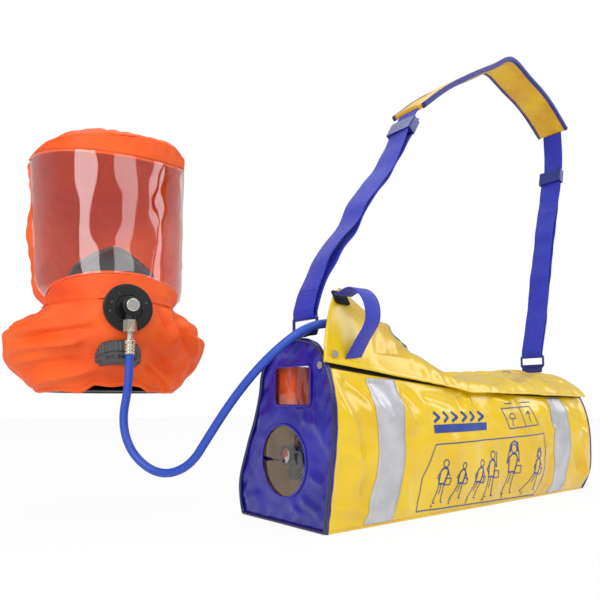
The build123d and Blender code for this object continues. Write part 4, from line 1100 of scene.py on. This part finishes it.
digits = {"1": [[(0, 2.4), (0.9, 3.2), (0.9, 0)]],
          "2": [[(0, 2.6), (0.8, 3.2), (1.7, 2.6), (1.6, 1.8), (0, 0), (1.9, 0)]],
          "3": [[(0, 3), (1.6, 3), (0.7, 1.9), (1.7, 1.2), (1.2, 0.1), (0, 0.2)]],
          "4": [[(1.3, 0), (1.3, 3.2), (0, 1), (1.9, 1)]],
          "5": [[(1.7, 3.2), (0.2, 3.2), (0.1, 1.9), (1.4, 1.8), (1.7, 0.9), (1.1, 0), (0, 0.2)]],
          "6": [[(1.5, 3.1), (0.4, 2), (0.1, 0.8), (0.8, 0), (1.6, 0.6), (1.3, 1.5), (0.3, 1.3)]]}
thin, thick = [], []
thin.append([(-151, 10), (-146, 56), (-129, 96), (10, 98), (150, 102), (146, 54), (135, 5), (0, 7),
             (-151, 10)])
people = [
    (-112, 18, 58, 0.12, "stand"), (-77, 20, 50, 0.22, "sit"), (-38, 16, 55, 0.3, "bend"),
    (0, 16, 66, 0.05, "raise"), (52, 15, 75, 0.06, "hood"), (105, 15, 62, 0.3, "walk"),
]
for number, (x, z, tall, lean, pose) in enumerate(people):
    unit = tall / 60

    def spot(a, b, x=x, z=z, unit=unit, lean=lean):
        return (x + unit * (a + lean * b), z + unit * b)

    head = circle(*spot(1, 54), 5.2 * unit)
    body = [spot(-6, 26), spot(-7, 44), spot(-2, 48), spot(5, 47), spot(8, 42), spot(6, 26), spot(-6, 26)]
    stride = {"stand": 3, "sit": 6, "bend": 5, "raise": 3, "hood": 3, "walk": 11}[pose]
    legs = [[spot(-5, 26), spot(-5 - stride * 0.4, 12), spot(-5 - stride, 0), spot(-1 - stride, 0)],
            [spot(5, 26), spot(5 + stride * 0.4, 12), spot(4 + stride, 0), spot(8 + stride, 0)],
            [spot(0, 24), spot(-1, 12)]]
    hand = {"stand": (14, 36), "sit": (15, 30), "bend": (13, 22), "raise": (10, 58), "hood": (8, 62),
            "walk": (15, 38)}[pose]
    arms = [[spot(7, 44), spot(12, 37), spot(*hand)],
            [spot(-6, 44), spot(-11, 36), spot(-5, 30) if pose != "hood" else spot(-6, 60)]]
    case = [spot(6, 24), spot(17, 24), spot(17, 33), spot(6, 33), spot(6, 24)]
    thin += [head] + legs + arms + [case]
    thick += [body]
    if pose in ("hood", "walk"):
        thick.append([spot(-6, 50), spot(-5, 60), spot(1, 63), spot(7, 60), spot(8, 50)])
    thin += [[(x - 10 + 1.5 * px, z - 6 + 1.5 * pz) for px, pz in part] for part in digits[str(number + 1)]]
thin += [[(29, 142), (113, 145), (131, 116), (45, 112), (29, 142)], [(80, 144), (92, 114)]]
thin += [circle(54, 127, 8, 14, 0, math.pi), [(46, 127), (62, 127)], [(54, 127), (54, 118), (57, 116)],
         [(104, 138), (112, 120)], [(99, 132), (106, 138), (110, 133)], [(38, 149), (60, 150)],
         [(90, 151), (118, 152)]]
barLine = [(-130, 116), (-8, 117)]
upper = [[(-128 + 20 * k, 125), (-116 + 20 * k, 131), (-127 + 20 * k, 138)] for k in range(6)]


def ribbonPoints(line, width, place):
    # a flat stroke of that width along a line, laid on the cloth by place
    line = np.asarray(line, float)
    run = np.r_[0, np.cumsum(np.linalg.norm(np.diff(line, axis=0), axis=1))]
    even = np.linspace(0, run[-1], max(int(run[-1] / 2), 3))
    line = np.stack([np.interp(even, run, line[:, 0]), np.interp(even, run, line[:, 1])], -1)
    sides = beside(line, width / 2), beside(line, -width / 2)
    return np.stack([place(side[:, 0], side[:, 1]) for side in sides], 1)


def printStrokes(name, strokes, place, body):
    # all strokes of one print joined in one piece
    points, faces, start = [], [], 0
    for line, width in strokes:
        strip = ribbonPoints(line, width, place)
        count = len(strip)
        k = np.arange(count - 1)[:, None] * 2 + start
        faces += (k + np.array([0, 1, 3, 2])).tolist()
        points.append(strip.reshape(-1, 3))
        start += 2 * count
    piece = meshPiece(name, np.vstack(points), faces)
    return settle(piece, "print", body)


strokes = [(line, printed["line"]) for line in thin] + [(line, printed["thick"]) for line in thick]
strokes += [(barLine, 11)] + [(line, 4.2) for line in upper]
printStrokes("frontPrint", strokes, lambda x, z: onFront(x, z, printed["lift"]), "set")
flapStrokes = [([(-205 + 16 * k, 66 + 3 * k), (-193 + 16 * k, 82 + 3 * k), (-205 + 16 * k, 98 + 3 * k)],
                4.5) for k in range(5)]
flapStrokes += [(circle(-160, 84, 40, 40, 0.25 * math.pi, 1.9 * math.pi), 5.5)]
flapStrokes += [([(150 + 12 * k, 60), (160 + 12 * k, 68), (150 + 12 * k, 76)], 3.2) for k in range(4)]
printStrokes("flapPrint", flapStrokes, lambda x, v: onFlap(x, v, printed["lift"])[0], "flap_group")

print("mask and valves")
mask = {
    "sections": [(-53, 150, 66, 60, 0.55), (-58, 149, 64, 60, 0.58), (-74, 148, 61, 60, 0.62),
                 (-88, 146, 57, 58, 0.64), (-102, 140, 51, 50, 0.6), (-112, 133, 43, 40, 0.45),
                 (-122, 120, 32, 30, 0.25), (-127, 112, 26, 26, 0.0)],
}
rows = np.array(mask["sections"], float)[::-1]
depth = np.linspace(rows[0, 0], rows[-1, 0], 60)
sizes = throughStations(rows[:, 0], rows[:, 1:], depth)
angle = np.linspace(0, math.tau, 96, endpoint=False)
rise = np.sin(angle)
narrow = 1 - sizes[:, 3:4] * np.clip(rise, 0, 1) ** 3
x = sizes[:, 1:2] * np.cos(angle) * narrow
z = sizes[:, 0:1] + sizes[:, 2:3] * rise * np.where(rise > 0, 1.08, 1)
crease = 1.5 * np.exp(-((depth + 82) / 6) ** 2)[:, None]
cup = np.stack([x * (1 - crease / 60), np.repeat(depth[:, None], 96, 1), z], -1)
maskCup = gridPiece("maskCup", inHood(cup), closeV=True)
form = bmesh.new()
form.from_mesh(maskCup.data)
bmesh.ops.recalc_face_normals(form, faces=form.faces)
form.normal_update()
middle = Vector(inHood((0, -90, 140)) * mm)
if sum((face.calc_center_median() - middle).dot(face.normal) for face in form.faces) < 0:
    bmesh.ops.reverse_faces(form, faces=form.faces)
form.to_mesh(maskCup.data)
form.free()
thicken(maskCup, 2.6)
settle(maskCup, "blackRubber", "set", ["oronasal_mask"])
lipPath = cup[-1]
ahead = headings(lipPath, 1)
backward = np.tile((0.0, 1.0, 0.0), (96, 1))
settle(carry("maskLip", inHood(lipPath), inHood(np.cross(ahead, backward)) - inHood(zero),
             inHood(backward) - inHood(zero),
             roundedBar(7, 3.4, 1.6), closed=True), "blackRubber")

tilt = math.radians(72)
valveCentre = inHood((-7, -123.5, 59))
valveAxis = inHood((0, -math.cos(tilt), -math.sin(tilt))) - inHood(zero)


def valveRibs(index, angle):
    # fine grip ribs round the wall of the cup, and slots between broad ribs on the slope of its cover
    wall = (index > 3) & (index < 11)
    slope = (index > 15) & (index < 18)
    return (np.where(wall, 0.6 * np.sign(np.sin(angle * 36)), 0.0)
            - np.where(slope & (np.sin(angle * 10) > -0.35), 3.2, 0.0))


cupProfile = [(0, 0.2), (24, 0.2), (27, 0.6), (29.2, 1.6), (30.2, 3), (30.2, 5), (30.2, 8), (30.2, 11),
              (30.2, 14), (30.2, 16), (30.2, 17), (28.2, 17.4), (28.2, 19.2), (30.4, 19.6), (30.4, 22),
              (29.4, 22.4), (29.0, 22.8), (26.0, 26.0), (25.2, 26.6), (24.2, 27), (10, 27), (0, 27)]
settle(turned("valveCup", cupProfile, valveCentre, valveAxis, 240, valveRibs), "greyPlastic",
       "set",
       ["exhale_body", "exhale_cover"])
ferrule = [(0, 46), (5.4, 46), (6.6, 46.6), (6.8, 48), (6.8, 49.2), (6.0, 49.8), (6.0, 51), (6.8, 51.6),
           (6.8, 53.4), (6.0, 54), (6.0, 55.2), (6.8, 55.8), (6.8, 57.6), (6.0, 58.2), (6.0, 59.4),
           (6.8, 60), (6.8, 62), (7.2, 62.4), (7.2, 65), (5.6, 66), (0, 66)]
settle(turned("crimpedFerrule", ferrule, inHood((0, -168, 0)), (0, 0, 1), 48), "nickel",
       "set",
       ["hood_ferrule"])
pins = [(0, 157.0), (1.9, 157.0), (1.9, 157.5), (0, 157.5)]
for number, (x, z) in enumerate(((-22, 116), (-24, 104), (23, 118))):
    profile = [(r, h - 157) for r, h in pins]
    settle(turned(f"flangePin{number}", profile, inHood((x, -157, z)), inHood((0, -1, 0)) - inHood(zero), 20),
           "greyPlastic")

print("finishes of kept solids")
for names, material, bevel in (
        (["connector", "clamp_ring", "inhale_seat"], "blackPlastic", 0.5),
        (["banjo_fitting"], "blackPlastic", 0.8),
        (["valve_handwheel", "gauge_case"], "blackPlastic", 0.2),
        (["inhale_disc", "exhale_disc"], "blackRubber", 0.2),
        (["neck_seal"], "blackRubber", 0),
        (["banjo_bolt", "hose_stem", "end_stud", "flap_stud"], "steel", 0.4),
        (["cylinder_band_left", "cylinder_band_right"], "steel", 0.3),
        (["hose_nut"], "nickel", 0.6),
        (["bag_ferrule", "cylinder_valve", "pressure_reducer", "high_pressure_link", "reducer_outlet"],
         "nickel", 0.6),
        (["air_cylinder"], "cylinderPaint", 0.4),
        (["gauge_dial"], "dial", 0),
        (["gauge_needle"], "needle", 0),
        (["gauge_glass"], "glass", 0.2),
        (["bag_base"], "yellowPvc", 0),
        (["hood_pouch"], "orangeHood", 0),
        (["hook_patch"], "blackTape", 0.4),
        (["ring_left", "ring_right"], "bluePlastic", 0),
        (["slider_left", "slider_right"], "bluePlastic", 0.7),
        (["tab_left", "tab_right"], "bindingWebbing", 0.3),
):
    for name in names:
        dressNode(name, material, bevel)

print("lights and floor")
stage = {"floor": "#F7F6F5", "floorSize": 6000, "shadowShare": 0.93}
span = stage["floorSize"]
floor = meshPiece("floor", [(-span, -span, 0), (span, -span, 0), (span, span, 0), (-span, span, 0)],
                  [(0, 1, 2, 3)])
paper = bpy.data.materials.new("paleFloor")
paper.use_nodes = True
tree = paper.node_tree
tree.nodes.clear()
rays = addNode(tree, "ShaderNodeLightPath")
seen = addNode(tree, "ShaderNodeMath", {"operation": "MAXIMUM"},
               {0: rays.outputs["Is Camera Ray"], 1: rays.outputs["Is Glossy Ray"]})
seen = addNode(tree, "ShaderNodeMath", {"operation": "MAXIMUM"},
               {0: seen.outputs[0], 1: rays.outputs["Is Transmission Ray"]})
share = addNode(tree, "ShaderNodeMath", {"operation": "MULTIPLY", 1: stage["shadowShare"]},
                {0: seen.outputs[0]})
dull = addNode(tree, "ShaderNodeBsdfDiffuse", {"Color": linearColour(stage["floor"])})
glow = addNode(tree, "ShaderNodeEmission", {"Color": linearColour("#FFFFFF")})
floorMix = addNode(tree, "ShaderNodeMixShader", None,
                   {0: share.outputs[0], 1: dull.outputs[0], 2: glow.outputs[0]})
addNode(tree, "ShaderNodeOutputMaterial", None, {"Surface": floorMix.outputs[0]})
floor.data.materials.append(paper)

world = bpy.data.worlds.new("studio")
bpy.context.scene.world = world
world.use_nodes = True
tree = world.node_tree
tree.nodes.clear()
rays = addNode(tree, "ShaderNodeLightPath")
seen = addNode(tree, "ShaderNodeMath", {"operation": "MAXIMUM"},
               {0: rays.outputs["Is Camera Ray"], 1: rays.outputs["Is Transmission Ray"]})
soft = addNode(tree, "ShaderNodeBackground", {"Color": linearColour("#E4E6EA"), "Strength": 0.55})
white = addNode(tree, "ShaderNodeBackground", {"Color": linearColour("#FFFFFF"), "Strength": 1.0})
both = addNode(tree, "ShaderNodeMixShader", None,
               {0: seen.outputs[0], 1: soft.outputs[0], 2: white.outputs[0]})
addNode(tree, "ShaderNodeOutputWorld", None, {"Surface": both.outputs[0]})

lamps = [
    ("lampLeft", (-2.3, -1.0, 1.5), 30, 1.1, 1.6),
    ("lampFront", (-0.3, -2.6, 1.9), 20, 1.6, 1.2),
    ("lampRight", (2.0, -1.2, 1.4), 14, 1.0, 1.4),
    ("lampTop", (0.1, 0.7, 2.6), 22, 2.0, 1.6),
]
for name, place, power, width, heightM in lamps:
    light = bpy.data.lights.new(name, "AREA")
    light.shape = "RECTANGLE"
    light.size, light.size_y, light.energy = width, heightM, power
    lamp = bpy.data.objects.new(name, light)
    lamp.location = place
    lamp.rotation_euler = (Vector((-0.1, 0.05, 0.28)) - lamp.location).to_track_quat("-Z", "Y").to_euler()
    bpy.context.scene.collection.objects.link(lamp)
bpy.context.scene.view_settings.view_transform = "Standard"
